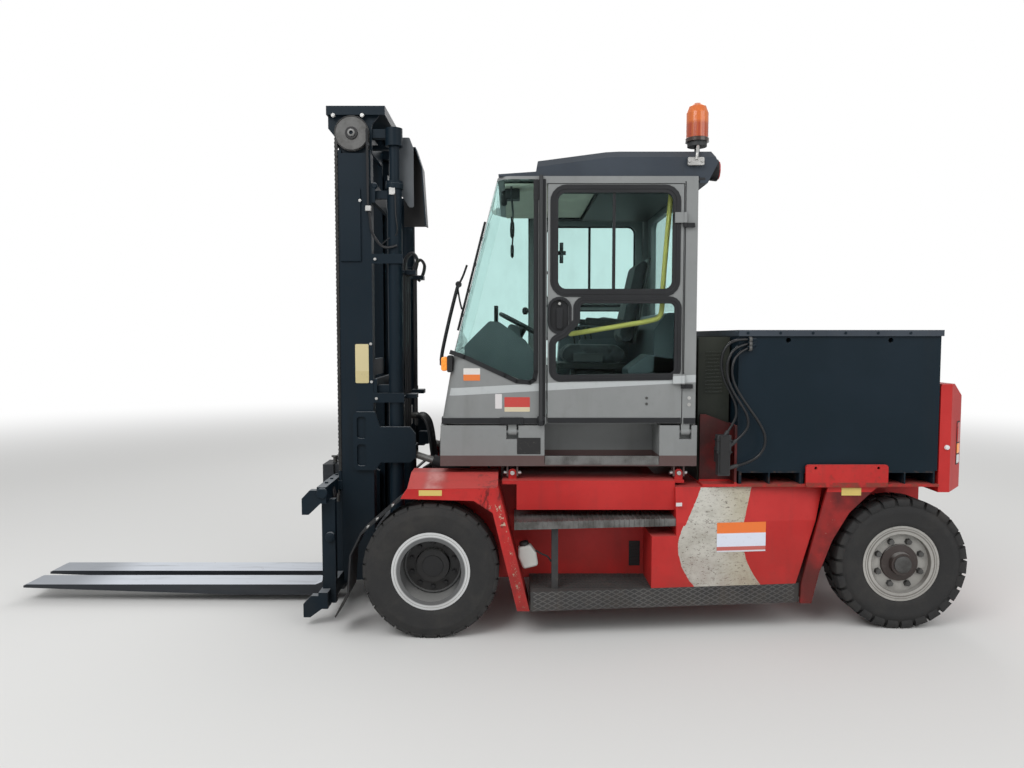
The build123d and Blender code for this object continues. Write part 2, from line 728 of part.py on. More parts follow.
def steering_column_point(distance):
    x, z = column_base
    return (x + math.sin(column_lean) * distance, 0, z + math.cos(column_lean) * distance)


def steering_wheel():
    centre = steering_column_point(wheel_along)
    axis = Vector(math.sin(column_lean), 0, math.cos(column_lean))
    plane = Plane(origin=centre, z_dir=axis)
    ring = plane * Torus(175, 14)
    hub = plane * Cylinder(34, 30)
    spokes = [plane * Rot(0, 0, angle) * Pos(88, 0, 0) * Box(176, 20, 10) for angle in (90, 210, 330)]
    return [joined([ring, hub] + spokes)]


def steering_column():
    return rod(steering_column_point(-60), steering_column_point(wheel_along - 15 - running_gap), 30)


def cab_fittings():
    """Stem of the beacon, and the long grab bar ahead of each door."""
    x, y = beacon_place
    stem = rod((x, y, roof_top_z + running_gap), (x, y, beacon_z - 26), 16)
    stem += block(x - 45, x + 30, y - 45, y + 45, roof_top_z + running_gap, roof_top_z + 8)
    stem += rod((x, y, beacon_z - 27), (x, y, beacon_z), 58)
    bars = []
    for side in (-1, 1):
        bar = rod((642, side * grab_bar_y, 1235), (642, side * grab_bar_y, 2690), 12)
        for z in (1300, 2640):
            bar += rod((642, side * (cab_half_width + running_gap), z), (642, side * grab_bar_y, z), 9)
        bars.append(bar)
    return [stem] + bars


def beacon():
    x, y = beacon_place
    profile = [(0, 0), (70, 0), (70, 20), (66, 24), (66, 170), (52, 208), (28, 226), (0, 226)]
    return [turned_up(profile, x, y, beacon_z)]


def turned_up(profile, x, y, z):
    """Solid of revolution about a vertical axis, from (radius, height) points."""
    face = polygon([(r, 0, height) for r, height in profile])
    return Pos(x, y, z) * revolve(face, Axis.Z, 360)


# Mast

def outer_rail():
    """Left channel of the outer mast, open inwards."""
    front, rear = mast_front_x, mast_front_x + rail_depth
    out = -mast_half_width
    inner = out + rail_reach
    plan = [(front, out), (rear, out), (rear, inner), (rear - rail_flange, inner),
            (rear - rail_flange, out + rail_web), (front + rail_flange, out + rail_web),
            (front + rail_flange, inner), (front, inner)]
    return plan_prism(plan, mast_foot_z, outer_rail_top_z)


def mast_bracket():
    """Cast bracket on the rail, with two windows at its front, reaching back over the tilt cylinder's eye."""
    face_y = -mast_half_width - bracket_thickness
    eye_x, eye_z = tilt_eye
    bracket = side_prism([(-539, 930), (-518, 909), (-398, 909), (-366, 958), (-176, 958), (-140, 990),
                          (-140, 1140), (-176, 1186), (-366, 1186), (-398, 1282), (-518, 1282), (-539, 1261)],
                         face_y, -mast_half_width)
    for z in (936, 1112):
        window = [(-514, z), (-456, z), (-456, z + 140), (-514, z + 140)]
        bracket -= side_prism(window, face_y - 1, face_y + 18, 20)
    # pin for the rod's eye, with an inner plate hung from a web above it
    inner = tilt_y - 40
    bracket += rod((eye_x, -mast_half_width - 1, eye_z), (eye_x, -inner + 2, eye_z), tilt_pin)
    bracket += block(eye_x - 34, eye_x + 34, -inner, -inner + 14, eye_z - 30, eye_z + 62)
    bracket += block(eye_x - 34, eye_x + 34, -mast_half_width - 1, -inner, eye_z + 48, eye_z + 62)
    return bracket


def mast_outer():
    rear = mast_front_x + rail_depth
    left = outer_rail() + mast_bracket()
    # lug and pin between the frame's two brackets
    left += side_prism([(rear + 20, 260), (rear + 20, 520), (pivot_x - 30, pivot_z + 45),
                        (pivot_x + 35, pivot_z + 30), (pivot_x + 35, pivot_z - 30),
                        (pivot_x - 30, pivot_z - 45)], -205, -150)
    left += rod((pivot_x, -264, pivot_z), (pivot_x, -150, pivot_z), mast_pin_radius)
    # anchor of the chain's rear run
    left += block(-444, rear, -mast_half_width, -mast_half_width + 28, outer_rail_top_z - 2, chain_anchor_z)
    for z in clamp_heights:
        left += block(rear - 2, -216, -mast_half_width, -mast_half_width + 9, z, z + 60)
    # strip behind the chain's front run, and the cover plate on the rail's side
    left += block(mast_front_x - 12, mast_front_x + 1, -mast_half_width, -mast_half_width + 40, mast_foot_z,
                  outer_rail_top_z)
    left += block(mast_front_x - 6, mast_front_x + 122, -mast_half_width - 12, -mast_half_width + 1,
                  outer_rail_top_z - 671, outer_rail_top_z - 221)
    body = joined(both(left))
    for z, height in outer_crosses:
        body += block(rear - 2, rear + 24, -mast_half_width + 4, mast_half_width - 4, z, z + height)
    return [body]


def lift_cylinders():
    """Barrels on the outer mast, open at the top for the rods."""
    x, y = lift_cylinder_x, -lift_cylinder_y
    cross_rear = mast_front_x + rail_depth + 24
    gland_z = outer_rail_top_z - 215
    barrel = pipe((x, y, 215), (x, y, gland_z + 10), lift_barrel_radius, lift_rod_radius + 4)
    barrel += rod((x, y, 195), (x, y, 216), lift_barrel_radius)
    barrel += pipe((x, y, gland_z), (x, y, gland_z + 50),
                   lift_barrel_radius + 6, lift_rod_radius + running_gap)
    barrel += block(cross_rear + running_gap, x - 30, y - 30, y + 30, 195, 225)
    for z, _ in outer_crosses[1:]:
        barrel += block(cross_rear + running_gap, x - 42, y - 20, y + 20, z + 30, z + 80)
    return both(barrel)


def inner_rail():
    front = mast_front_x + rail_flange + play
    rear = mast_front_x + rail_depth - rail_flange - play
    out = -(mast_half_width - rail_web - play)
    inner = out + rail_reach + 5
    flange = 26.0
    plan = [(front, out), (front + flange, out), (front + flange, out + 30), (rear - flange, out + 30),
            (rear - flange, out), (rear, out), (rear, inner), (rear - flange, inner),
            (rear - flange, out + 52),
            (front + flange, out + 52), (front + flange, inner), (front, inner)]
    return plan_prism(plan, mast_foot_z + 20, mast_height - 50)


def mast_inner():
    rail = inner_rail()
    body = rail + other_side(rail)
    rear = mast_front_x + rail_depth - rail_flange - play
    top = block(-687, -320, -mast_half_width, mast_half_width, mast_height - 55, mast_height)
    top -= block(-675, -332, -mast_half_width + 14, mast_half_width - 14, mast_height - 56, mast_height - 14)
    body += top
    rail_face = mast_half_width - rail_web - play
    for side in (-1, 1):
        # cheek plate inside the sheave down to the outer rail, and the sheave's pin
        body += side_prism([(-682, mast_height - 50), (-682, sheave_z + 35), (-638, sheave_z - 20),
                            (-610, outer_rail_top_z + play), (-408, outer_rail_top_z + play),
                            (-408, sheave_z + 60),
                            (-360, mast_height - 50)], side * (rail_face - 14), side * rail_face)
        sheave_pin_y = side * (rail_face - 4)
        body += rod((sheave_x, sheave_pin_y, sheave_z), (sheave_x, side * (sheave_y + 20), sheave_z), 28)
        x, y = lift_cylinder_x, side * lift_cylinder_y
        body += rod((x, y, 700), (x, y, lift_head_z), lift_rod_radius)
        body += rod((x, y, lift_head_z - 110), (x, y, lift_head_z), 54)
        body += block(rear - 20, x, side * (rail_face - 78), side * (rail_face - 14),
                      lift_head_z - 58, lift_head_z - 4)
    # cross members behind the carriage's path
    for z in (sheave_z - 68, 1500, 260):
        body += block(rear - 24, rear, -270, 270, z, z + 110)
    # hose guard: a bent plate hung behind the top cross member
    guard = [(-222, 2700), (-222, 2975), (-147, 2975), (-104, 2843), (-82, 2479)]
    body += side_prism(strip(guard, -8.0), -238, -112)
    body += block(rear - 4, -220, -190, -150, sheave_z - 58, sheave_z - 30)
    body += block(-250, -214, -190, -150, sheave_z - 60, sheave_z - 30)
    return [body]


def chain_sheaves():
    half, groove = sheave_width / 2, chain_width / 2 + 1
    bore = 28 + running_gap
    profile = [(bore, -half), (sheave_radius, -half), (sheave_radius, -groove), (sheave_radius - 18, -groove),
               (sheave_radius - 18, groove), (sheave_radius, groove), (sheave_radius, half), (bore, half)]
    sheave = turned(profile, sheave_x, -sheave_y, sheave_z)
    # the chain lies over the top half
    lap = chain_width / 2
    over = polygon([(r, offset, 0) for r, offset in ((sheave_radius - 19, -lap), (sheave_radius, -lap),
                                                     (sheave_radius, lap), (sheave_radius - 19, lap))])
    over = Rot(0, -180, 0) * revolve(over, Axis.Y, 180)
    over = Pos(sheave_x, -sheave_y, sheave_z) * over
    return both(sheave + over)


def anchor_chains():
    """Rear run of each lift chain, from its anchor on the outer mast up to the sheave."""
    half = chain_width / 2
    rear = sheave_x + sheave_radius
    return both(block(rear - 17, rear, -sheave_y - half, -sheave_y + half,
                      chain_anchor_z, sheave_z - running_gap))


def lift_chains():
    """Front run of each lift chain, from the sheave down to the carriage's arm."""
    half = chain_width / 2
    front = sheave_x - sheave_radius
    return both(block(front, front + 17, -sheave_y - half, -sheave_y + half,
                      chain_foot_z, sheave_z - running_gap))


def carriage():
    front, rear = bar_front_x, bar_front_x + bar_depth
    half = carriage_half_width
    plate_rear = mast_front_x + rail_depth - rail_flange - play - 24 - play
    body = joined([block(front, rear, -half, half, z, z + bar_height) for z in (lower_bar_z, upper_bar_z)])
    for side in (-1, 1):
        body += side_prism([(rear - 4, lower_bar_z), (-560, lower_bar_z + 60), (plate_rear, 250),
                            (plate_rear, 800), (-560, upper_bar_z + 80), (rear - 4, upper_bar_z + 80)],
                           side * 205, side * 240)
        body += block(front + 8, rear, side * 195, side * 250, lower_bar_z + 10, upper_bar_z + 10)
        body += block(front + 8, -612, side * 560, side * 610, lower_bar_z + 10, upper_bar_z + 10)
        for z in (330, 740):
            body += rod((-506, side * 238, z), (-506, side * 278, z), 28)
        # arm and anchor for the lift chain
        body += block(rear - 4, mast_front_x - 12 - play, side * 238, side * (sheave_y + 15), 780, 836)
        body += rod((sheave_x - sheave_radius + 8.5, side * sheave_y, 830),
                    (sheave_x - sheave_radius + 8.5, side * sheave_y, chain_foot_z - running_gap), 12)
        for z, reach in ((upper_bar_z, 68), (lower_bar_z, 52)):
            body += side_prism([(front + 20, z), (front + 20, z + 80), (-745, z + 80), (-793, z + 30),
                                (-793, z - reach), (-752, z - reach)], side * (half - 50), side * half)
    return [body]


def fork(side):
    """Fork with its shank, the blade tapering to the tip, and the two hooks over the carriage bars."""
    face_x = bar_front_x - running_gap
    front_x = face_x - fork_thickness
    tip_x = front_x - fork_length
    top_z = fork_floor_z + fork_thickness
    profile = [(face_x, fork_floor_z + 30), (face_x - 30, fork_floor_z), (tip_x + 1400, fork_floor_z),
               (tip_x, top_z - 22), (tip_x, top_z - 8), (tip_x + 20, top_z), (front_x - 60, top_z),
               (front_x - 18, top_z + 18), (front_x, top_z + 60), (front_x, upper_bar_z + 165),
               (face_x, upper_bar_z + 165)]
    y0 = side * fork_y - fork_width / 2
    body = side_prism(profile, y0, y0 + fork_width)
    bar_top = upper_bar_z + bar_height + running_gap
    rear = bar_front_x + bar_depth
    body += side_prism([(face_x - 2, bar_top), (rear - 4, bar_top), (rear - 4, bar_top + 34),
                        (rear - 26, bar_top + 62), (face_x - 2, bar_top + 62)],
                       y0 + 20, y0 + fork_width - 20)
    low_top = lower_bar_z - running_gap
    body += block(face_x - 2, rear, y0 + 20, y0 + fork_width - 20, low_top - 30, low_top)
    return [body]


def tilt_axis(side):
    """Rear pin, front eye and the direction between them for one tilt cylinder."""
    anchor = Vector(tilt_anchor[0], side * tilt_y, tilt_anchor[1])
    eye = Vector(tilt_eye[0], side * tilt_y, tilt_eye[1])
    return anchor, eye, (eye - anchor).normalized()


def tilt_cylinder(side):
    anchor, eye, along = tilt_axis(side)
    barrel = rod(anchor + along * 60, anchor + along * 300, tilt_barrel_radius)
    barrel += rod(anchor, anchor + along * 80, 20)
    barrel += Pos(*anchor) * (Rot(90, 0, 0) * Cylinder(34, 40))
    barrel += Pos(*anchor) * (Rot(90, 0, 0) * Cylinder(tilt_pin, 72))
    barrel -= rod(anchor + along * 90, anchor + along * 310, tilt_rod_radius + 6)
    barrel += pipe(anchor + along * 280, anchor + along * 300,
                   tilt_barrel_radius, tilt_rod_radius + running_gap)
    return barrel


def tilt_rod(side):
    anchor, eye, along = tilt_axis(side)
    body = rod(anchor + along * 220, eye - along * 20, tilt_rod_radius)
    body += Pos(*eye) * (Rot(90, 0, 0) * Cylinder(38, 40))
    body -= Pos(*eye) * (Rot(90, 0, 0) * Cylinder(tilt_pin + 8, 60))
    return body


# Battery cables: three limp leads from glands under the lid to the plug in front of the battery

cable_radius = 8.0
gland_x = battery_front_x + 47.0
cable_routes = {
    "battery_cable_upper": [
        (gland_x, -764, 1742), (1770, -793, 1746), (1704, -786, 1690), (1688, -783, 1600), (1708, -783, 1508),
        (1752, -783, 1428), (1786, -783, 1350), (1782, -783, 1270), (1738, -783, 1206)],
    "battery_cable_middle": [
        (gland_x, -764, 1717), (1772, -796, 1702), (1726, -803, 1634), (1716, -803, 1548), (1746, -803, 1460),
        (1798, -803, 1376), (1850, -803, 1296), (1850, -802, 1212), (1784, -796, 1154)],
    "battery_cable_lower": [
        (gland_x, -764, 1692), (1784, -788, 1664), (1748, -803, 1594), (1752, -804, 1510), (1792, -804, 1430),
        (1852, -804, 1344), (1912, -804, 1262), (1956, -804, 1176), (1940, -804, 1090), (1876, -802, 1030),
        (1794, -798, 1006)],
}


def corner_radii(points):
    """Largest arc that each corner's two runs allow."""
    radii = []
    for before, at, after in zip(points, points[1:], points[2:]):
        first, second = Vector(*at) - Vector(*before), Vector(*after) - Vector(*at)
        turn = math.radians(first.get_angle(second))
        radii.append(0.45 * min(first.length, second.length) / math.tan(turn / 2))
    return radii


def battery_cable(points):
    radii = corner_radii(points)
    route = FilletPolyline(*points, radius=radii)
    lead = sweep(Plane(origin=route @ 0, z_dir=route % 0) * Circle(cable_radius), path=route)
    print("cable radii", [round(r) for r in radii], "length", round(route.length),
          "volume ratio", round(lead.volume / (math.pi * cable_radius ** 2 * route.length), 3))
    return lead


def gland(end, inward):
    """Boss that a cable's end meets, set back from it along the cable's own line."""
    end, inward = Vector(*end), Vector(*inward)
    return rod(end, end + (end - inward).normalized() * 58, cable_radius + 4)


def battery_plug():
    """Connector outboard of the deck's gusset, in two halves, on an arm from the gusset."""
    body = block(1676, 1744, -815, -755, 948, 1074)
    body += block(1670, 1750, -812, -758, 1074, 1186)
    body += block(1690, 1730, -757, -660 - running_gap, 1010, 1100)
    for points in cable_routes.values():
        body += gland(points[-1], points[-2])
    return [body]


os.makedirs("parts", exist_ok=True)

save("chassis_frame", chassis_frame())
save("battery_platform", battery_platform())
save("front_fenders", front_fenders())
save("front_aprons", front_aprons())
save("rear_fenders", rear_fenders())
save("side_tanks", side_tanks())
save("lower_steps", lower_steps())
save("tread_steps", tread_steps())
save("cab_skirt", cab_skirt())
save("electrics_housing", electrics_housing())
save("battery_case", battery_case())
save("battery_lid", battery_lid())
save("battery_pallet", battery_pallet())
save("counterweight", counterweight())
save("drive_axle", drive_axle())
save("steer_axle", steer_axle())
save("cab_shell", cab_shell())
save("cab_roof", cab_roof())
save("cab_glass", cab_glass())
save("seat", seat())
save("console", [console()[0] + steering_column()])
save("steering_wheel", steering_wheel())
save("cab_fittings", cab_fittings())
save("beacon", beacon())
save("hinge_pins", hinge_pins() + [other_side(pin) for pin in hinge_pins()])
save("left_door", [door()])
save("right_door", [other_side(door())])
save("left_door_glass", door_glass())
save("right_door_glass", [other_side(pane) for pane in door_glass()])
save("mast_outer", mast_outer())
save("lift_cylinders", lift_cylinders())
save("mast_inner", mast_inner())
save("chain_sheaves", chain_sheaves())
save("lift_chains", lift_chains())
save("anchor_chains", anchor_chains())
save("carriage", carriage())
save("battery_plug", battery_plug())
for node, route in cable_routes.items():
    save(node, [battery_cable(route)])
for name, side in (("left", -1), ("right", 1)):
    save(f"{name}_fork", fork(side))
    save(f"{name}_tilt_cylinder", [tilt_cylinder(side)])
    save(f"{name}_tilt_rod", [tilt_rod(side)])
    save(f"{name}_knuckle", knuckle(side))
    save(f"front_{name}_tyre", [tyre(0, side * front_wheel_y)])
    save(f"front_{name}_rim", [front_wheel_rim(side)])
    save(f"rear_{name}_tyre", [tyre(rear_axle_x, side * rear_wheel_y, rear_lug_count)])
    save(f"rear_{name}_rim", [rear_wheel_rim(side)])
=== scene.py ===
import bpy
import bmesh
import json
import math
from mathutils import Matrix, Vector


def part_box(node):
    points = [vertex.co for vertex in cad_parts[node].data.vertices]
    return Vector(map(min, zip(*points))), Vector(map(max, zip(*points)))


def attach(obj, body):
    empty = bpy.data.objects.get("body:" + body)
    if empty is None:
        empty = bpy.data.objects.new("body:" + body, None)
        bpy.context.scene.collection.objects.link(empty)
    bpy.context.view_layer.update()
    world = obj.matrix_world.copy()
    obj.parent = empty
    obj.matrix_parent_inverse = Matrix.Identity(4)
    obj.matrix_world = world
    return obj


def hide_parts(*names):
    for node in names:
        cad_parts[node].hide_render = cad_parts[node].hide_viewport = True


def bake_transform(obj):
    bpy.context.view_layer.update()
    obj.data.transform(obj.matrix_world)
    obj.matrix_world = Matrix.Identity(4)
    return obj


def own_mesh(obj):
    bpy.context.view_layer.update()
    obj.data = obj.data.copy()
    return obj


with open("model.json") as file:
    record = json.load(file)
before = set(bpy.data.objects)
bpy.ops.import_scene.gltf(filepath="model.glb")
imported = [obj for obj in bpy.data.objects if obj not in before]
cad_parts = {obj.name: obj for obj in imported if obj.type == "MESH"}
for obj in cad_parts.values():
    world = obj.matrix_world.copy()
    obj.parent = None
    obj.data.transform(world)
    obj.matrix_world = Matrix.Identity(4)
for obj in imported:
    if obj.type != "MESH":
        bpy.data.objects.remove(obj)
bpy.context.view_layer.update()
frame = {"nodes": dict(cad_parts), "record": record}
nodes = frame["nodes"]
wheelLow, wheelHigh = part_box("front_left_tyre")
frontAxle = (wheelLow.x + wheelHigh.x) / 2  # stations run rearwards from here, in metres
print("frame loaded,", len(nodes), "nodes")


def at(x, y, z):  # a point from its station behind the front axle, in millimetres
    return Vector((frontAxle + x / 1000, y / 1000, z / 1000))


truck = {
    "rearAxle": 2810.0, "axleHeight": 397.5, "frontWheelSide": 779.0, "rearWheelSide": 624.0,
    "railSide": 375.0, "cabSide": 732.0, "skirtSide": 735.0, "fenderSide": 900.0,
    "narrowFrom": 580.0, "narrowing": 160.0 / 1610.0}


def bodySide(x):  # half width of the truck's side at a station, where it narrows behind the cab
    return truck["fenderSide"] - (x - truck["narrowFrom"]) * truck["narrowing"]


# Shader maths

class Num:  # a socket that takes plain arithmetic
    def __init__(self, shader, socket):
        self.shader = shader
        self.socket = socket

    def sum(self, kind, a, b):
        return self.shader.node("Math", {0: a, 1: b}, operation=kind)

    def __add__(self, other):
        return self.sum("ADD", self, other)

    def __radd__(self, other):
        return self.sum("ADD", other, self)

    def __sub__(self, other):
        return self.sum("SUBTRACT", self, other)

    def __rsub__(self, other):
        return self.sum("SUBTRACT", other, self)

    def __mul__(self, other):
        return self.sum("MULTIPLY", self, other)

    def __gt__(self, other):
        return self.sum("GREATER_THAN", self, other)

    def __lt__(self, other):
        return self.sum("LESS_THAN", self, other)

    def __abs__(self):
        return self.sum("ABSOLUTE", self, 0.0)

    def root(self):
        return self.sum("SQRT", self, 0.0)

    def step(self, low, high):  # 0 below low, 1 above high, smooth between
        inputs = {"Value": self, "From Min": low, "From Max": high}
        return self.shader.node("MapRange", inputs, interpolation_type="SMOOTHSTEP")

    def most(self, other):
        return self.sum("MAXIMUM", self, other)


class Shader:  # one material, built node by node
    def __init__(self, name):
        self.material = bpy.data.materials.new(name)
        self.material.use_nodes = True
        self.tree = self.material.node_tree
        self.tree.nodes.clear()
        self.place = self.node("TexCoord", output="Object")

    def node(self, kind, inputs=None, output=0, **settings):
        made = self.tree.nodes.new("ShaderNode" + kind)
        for key, value in settings.items():
            setattr(made, key, value)
        for key, value in (inputs or {}).items():
            if isinstance(value, Num):
                self.tree.links.new(value.socket, made.inputs[key])
            elif isinstance(value, tuple) and len(value) == 3 and made.inputs[key].type == "RGBA":
                made.inputs[key].default_value = (*value, 1.0)
            else:
                made.inputs[key].default_value = value
        return Num(self, made.outputs[output]) if len(made.outputs) else None

    def axis(self, name):  # one coordinate of the object's own space, in metres
        return self.node("SeparateXYZ", {0: self.place}, output=name)

    def upward(self):  # 1 on faces that look up, 0 on walls
        normal = self.node("TexCoord", output="Normal")
        return self.node("SeparateXYZ", {0: normal}, output="Z").step(0.45, 0.9)

    def noise(self, scale, detail=4.0, rough=0.55, stretch=(1, 1, 1)):
        spot = self.node("Mapping", {"Vector": self.place, "Scale": stretch})
        inputs = {"Vector": spot, "Scale": scale, "Detail": detail, "Roughness": rough}
        return self.node("TexNoise", inputs, output="Fac")

    def cells(self, scale):
        return self.node("TexVoronoi", {"Vector": self.place, "Scale": scale}, output="Distance")

    def blend(self, mask, low, high):  # two colours by a mask
        inputs = {0: mask, 6: low, 7: high}
        return self.node("Mix", inputs, output=2, data_type="RGBA")

    def bump(self, height, strength, distance, under=None):
        inputs = {"Height": height, "Strength": strength, "Distance": distance}
        if under:
            inputs["Normal"] = under
        return self.node("Bump", inputs)

    def finish(self, **sockets):
        names = {"colour": "Base Color", "rough": "Roughness", "metal": "Metallic", "normal": "Normal",
                 "coat": "Coat Weight", "coatRough": "Coat Roughness", "glow": "Emission Color",
                 "glowStrength": "Emission Strength", "specular": "Specular IOR Level",
                 "through": "Transmission Weight", "ior": "IOR", "sheen": "Sheen Weight"}
        surface = self.node("BsdfPrincipled", {names[key]: value for key, value in sockets.items()})
        self.node("OutputMaterial", {"Surface": surface})
        return self.material


# Finishes

paintGrain = {"cloud": 2.2, "streak": 9.0, "film": 28.0, "dust": 6.0, "skin": 260.0, "chipEdge": 0.015}


def paintFinish(name, look, marks=()):  # weathered paint: fading, streaks, marks, film, dust, chips, and a painted sky sheen on faces that look up
    shader = Shader(name)
    cloud = shader.noise(paintGrain["cloud"], 6)
    colour = shader.blend(cloud.step(0.35, 0.7), look["colour"], look["faded"])
    streak = shader.noise(paintGrain["streak"], 5, stretch=(1, 1, 0.12))
    colour = shader.blend(streak.step(0.52, 0.78) * look["streaks"], colour, look["dirt"])
    for mark in marks:
        mask, tint = mark(shader)
        colour = shader.blend(mask, colour, tint)
    film = shader.noise(paintGrain["film"], 7, 0.7)
    colour = shader.blend(film.step(0.5, 0.8) * look["film"], colour, look["dirt"])
    # painted sky reflection: faces that look up are lightened towards the look's top colour
    colour = shader.blend(shader.upward() * look["topSheenAndRust"], colour, look["topSheenAndRustColour"])
    height = shader.axis("Z")
    low = 1 - height.step(look["dustFoot"], look["dustTop"])
    low = low * shader.noise(paintGrain["dust"], 6, 0.65).step(0.25, 0.75)
    colour = shader.blend(low * look["dust"], colour, look["dustColour"])
    flaw = shader.noise(look["chipScale"], 8, 0.72) * 0.75 + cloud * 0.25
    chip = flaw.step(look["chipFrom"], look["chipFrom"] + paintGrain["chipEdge"])
    colour = shader.blend(chip, colour, look["chip"])
    rough = look["rough"] + film * 0.12 + low * 0.25
    normal = shader.bump(shader.noise(paintGrain["skin"], 3), 0.1, 0.002)
    normal = shader.bump(chip, 0.3, 0.0006, normal)
    return shader.finish(colour=colour, rough=rough, normal=normal, coat=look["coat"], coatRough=0.3,
                         specular=look["specular"])


# Each look's top-face pair paints a sky sheen on faces that look up; on the pallet it also stands for rusty
# lips.
redLook = {
    "colour": (0.43, 0.014, 0.013), "faded": (0.50, 0.024, 0.022), "dirt": (0.15, 0.022, 0.020),
    "chip": (0.30, 0.17, 0.14), "dustColour": (0.14, 0.04, 0.03), "streaks": 0.35, "film": 0.2,
    "dust": 0.45, "dustFoot": 0.15, "dustTop": 0.75, "chipScale": 34.0, "chipFrom": 0.672, "rough": 0.42,
    "coat": 0.05, "specular": 0.3, "topSheenAndRust": 0.3, "topSheenAndRustColour": (0.62, 0.20, 0.18)}
fenderLook = {**redLook, "chipScale": 22.0, "chipFrom": 0.63, "streaks": 0.5, "film": 0.45, "dust": 0.7,
              "dustColour": (0.09, 0.022, 0.018), "dustTop": 0.95, "topSheenAndRust": 0.28}
platformLook = {**redLook, "dirt": (0.10, 0.030, 0.02), "film": 0.6, "streaks": 0.6}
greyLook = {
    "colour": (0.205, 0.215, 0.215), "faded": (0.235, 0.245, 0.245), "dirt": (0.12, 0.12, 0.115),
    "chip": (0.07, 0.065, 0.06), "dustColour": (0.16, 0.155, 0.15), "streaks": 0.25, "film": 0.18,
    "dust": 0.15, "dustFoot": 0.9, "dustTop": 1.3, "chipScale": 40.0, "chipFrom": 0.72, "rough": 0.4,
    "coat": 0.05, "specular": 0.5, "topSheenAndRust": 0.2, "topSheenAndRustColour": (0.33, 0.34, 0.34)}
mastLook = {
    "colour": (0.004, 0.0115, 0.019), "faded": (0.006, 0.014, 0.022), "dirt": (0.012, 0.015, 0.018),
    "chip": (0.09, 0.09, 0.09), "dustColour": (0.03, 0.029, 0.028), "streaks": 0.35, "film": 0.3,
    "dust": 0.4, "dustFoot": 0.1, "dustTop": 0.9, "chipScale": 46.0, "chipFrom": 0.712, "rough": 0.42,
    "coat": 0.0, "specular": 0.17, "topSheenAndRust": 0.8, "topSheenAndRustColour": (0.26, 0.28, 0.30)}
caseLook = {**mastLook, "colour": (0.004, 0.0125, 0.020), "faded": (0.006, 0.015, 0.024), "dust": 0.2,
            "streaks": 0.2, "film": 0.15, "chipFrom": 0.735, "topSheenAndRust": 0.25}
palletLook = {**caseLook, "dirt": (0.16, 0.09, 0.05), "film": 0.8, "topSheenAndRust": 0.9,
              "topSheenAndRustColour": (0.30, 0.22, 0.15)}
housingLook = {**mastLook, "colour": (0.022, 0.026, 0.022), "faded": (0.036, 0.040, 0.032),
               "dust": 0.2}
blackLook = {
    "colour": (0.008, 0.009, 0.011), "faded": (0.014, 0.015, 0.017), "dirt": (0.025, 0.024, 0.022),
    "chip": (0.09, 0.085, 0.08), "dustColour": (0.06, 0.055, 0.05), "streaks": 0.3, "film": 0.3,
    "dust": 0.6, "dustFoot": 0.1, "dustTop": 0.5, "chipScale": 40.0, "chipFrom": 0.70, "rough": 0.5,
    "coat": 0.0, "specular": 0.35, "topSheenAndRust": 0.3, "topSheenAndRustColour": (0.09, 0.09, 0.09)}
roofLook = {**blackLook, "colour": (0.018, 0.028, 0.042), "faded": (0.028, 0.040, 0.056), "dust": 0.0,
            "specular": 0.5}
boardLook = {
    "colour": (0.022, 0.023, 0.025), "faded": (0.042, 0.042, 0.043), "dirt": (0.10, 0.08, 0.062),
    "chip": (0.22, 0.21, 0.19), "dustColour": (0.10, 0.085, 0.07), "streaks": 0.3, "film": 0.5,
    "dust": 0.4, "dustFoot": 0.12, "dustTop": 0.4, "chipScale": 26.0, "chipFrom": 0.70, "rough": 0.6,
    "coat": 0.0, "specular": 0.4, "topSheenAndRust": 0.3, "topSheenAndRustColour": (0.10, 0.095, 0.09)}
barLook = {**boardLook, "colour": (0.075, 0.075, 0.076), "faded": (0.125, 0.122, 0.12), "chipFrom": 0.66}
rimLook = {
    "colour": (0.30, 0.295, 0.275), "faded": (0.42, 0.41, 0.385), "dirt": (0.10, 0.09, 0.08),
    "chip": (0.10, 0.07, 0.05), "dustColour": (0.14, 0.125, 0.11), "streaks": 0.35, "film": 0.5,
    "dust": 0.3, "dustFoot": 0.1, "dustTop": 0.6, "chipScale": 60.0, "chipFrom": 0.71, "rough": 0.38,
    "coat": 0.0, "specular": 0.5, "topSheenAndRust": 0.3, "topSheenAndRustColour": (0.6, 0.6, 0.58)}
frontRimLook = {**rimLook, "colour": (0.52, 0.53, 0.53), "faded": (0.60, 0.61, 0.61), "film": 0.15,
                "streaks": 0.1, "dust": 0.15}


def sweepMark(shader):  # broad worn white band over the side tanks, bowed forwards below the crease
    station = shader.axis("X") - frontAxle
    height = shader.axis("Z")
    wobble = shader.noise(16.0, 5) * 0.02 - 0.01
    upper = height > 0.65
    bow = (height - 0.52) * (height - 0.52) * 1.8
    left = upper * (1.49 + (height - 0.65) * 0.47) + (1 - upper) * (1.449 + bow)
    tail = (height - 0.571) * (height - 0.571) * 1.4
    right = upper * (1.838 + (height - 0.64) * 0.27) + (1 - upper) * (1.838 + tail)
    inside = (station + wobble > left) * (station + wobble * 0.5 < right) * (height < 0.868)
    speck = shader.noise(70.0, 8, 0.8, stretch=(0.6, 1, 1.4)).step(0.55, 0.61)
    grime = shader.noise(9.0, 7, 0.7).step(0.42, 0.72)
    edge = (station - 1.70).step(-0.06, 0.16)
    tint = shader.blend(grime * 0.5, (0.52, 0.51, 0.46), (0.28, 0.265, 0.22))
    tint = shader.blend(edge * 0.45, tint, (0.36, 0.30, 0.16))
    tint = shader.blend(speck * 0.85, tint, (0.09, 0.07, 0.06))
    return inside, tint


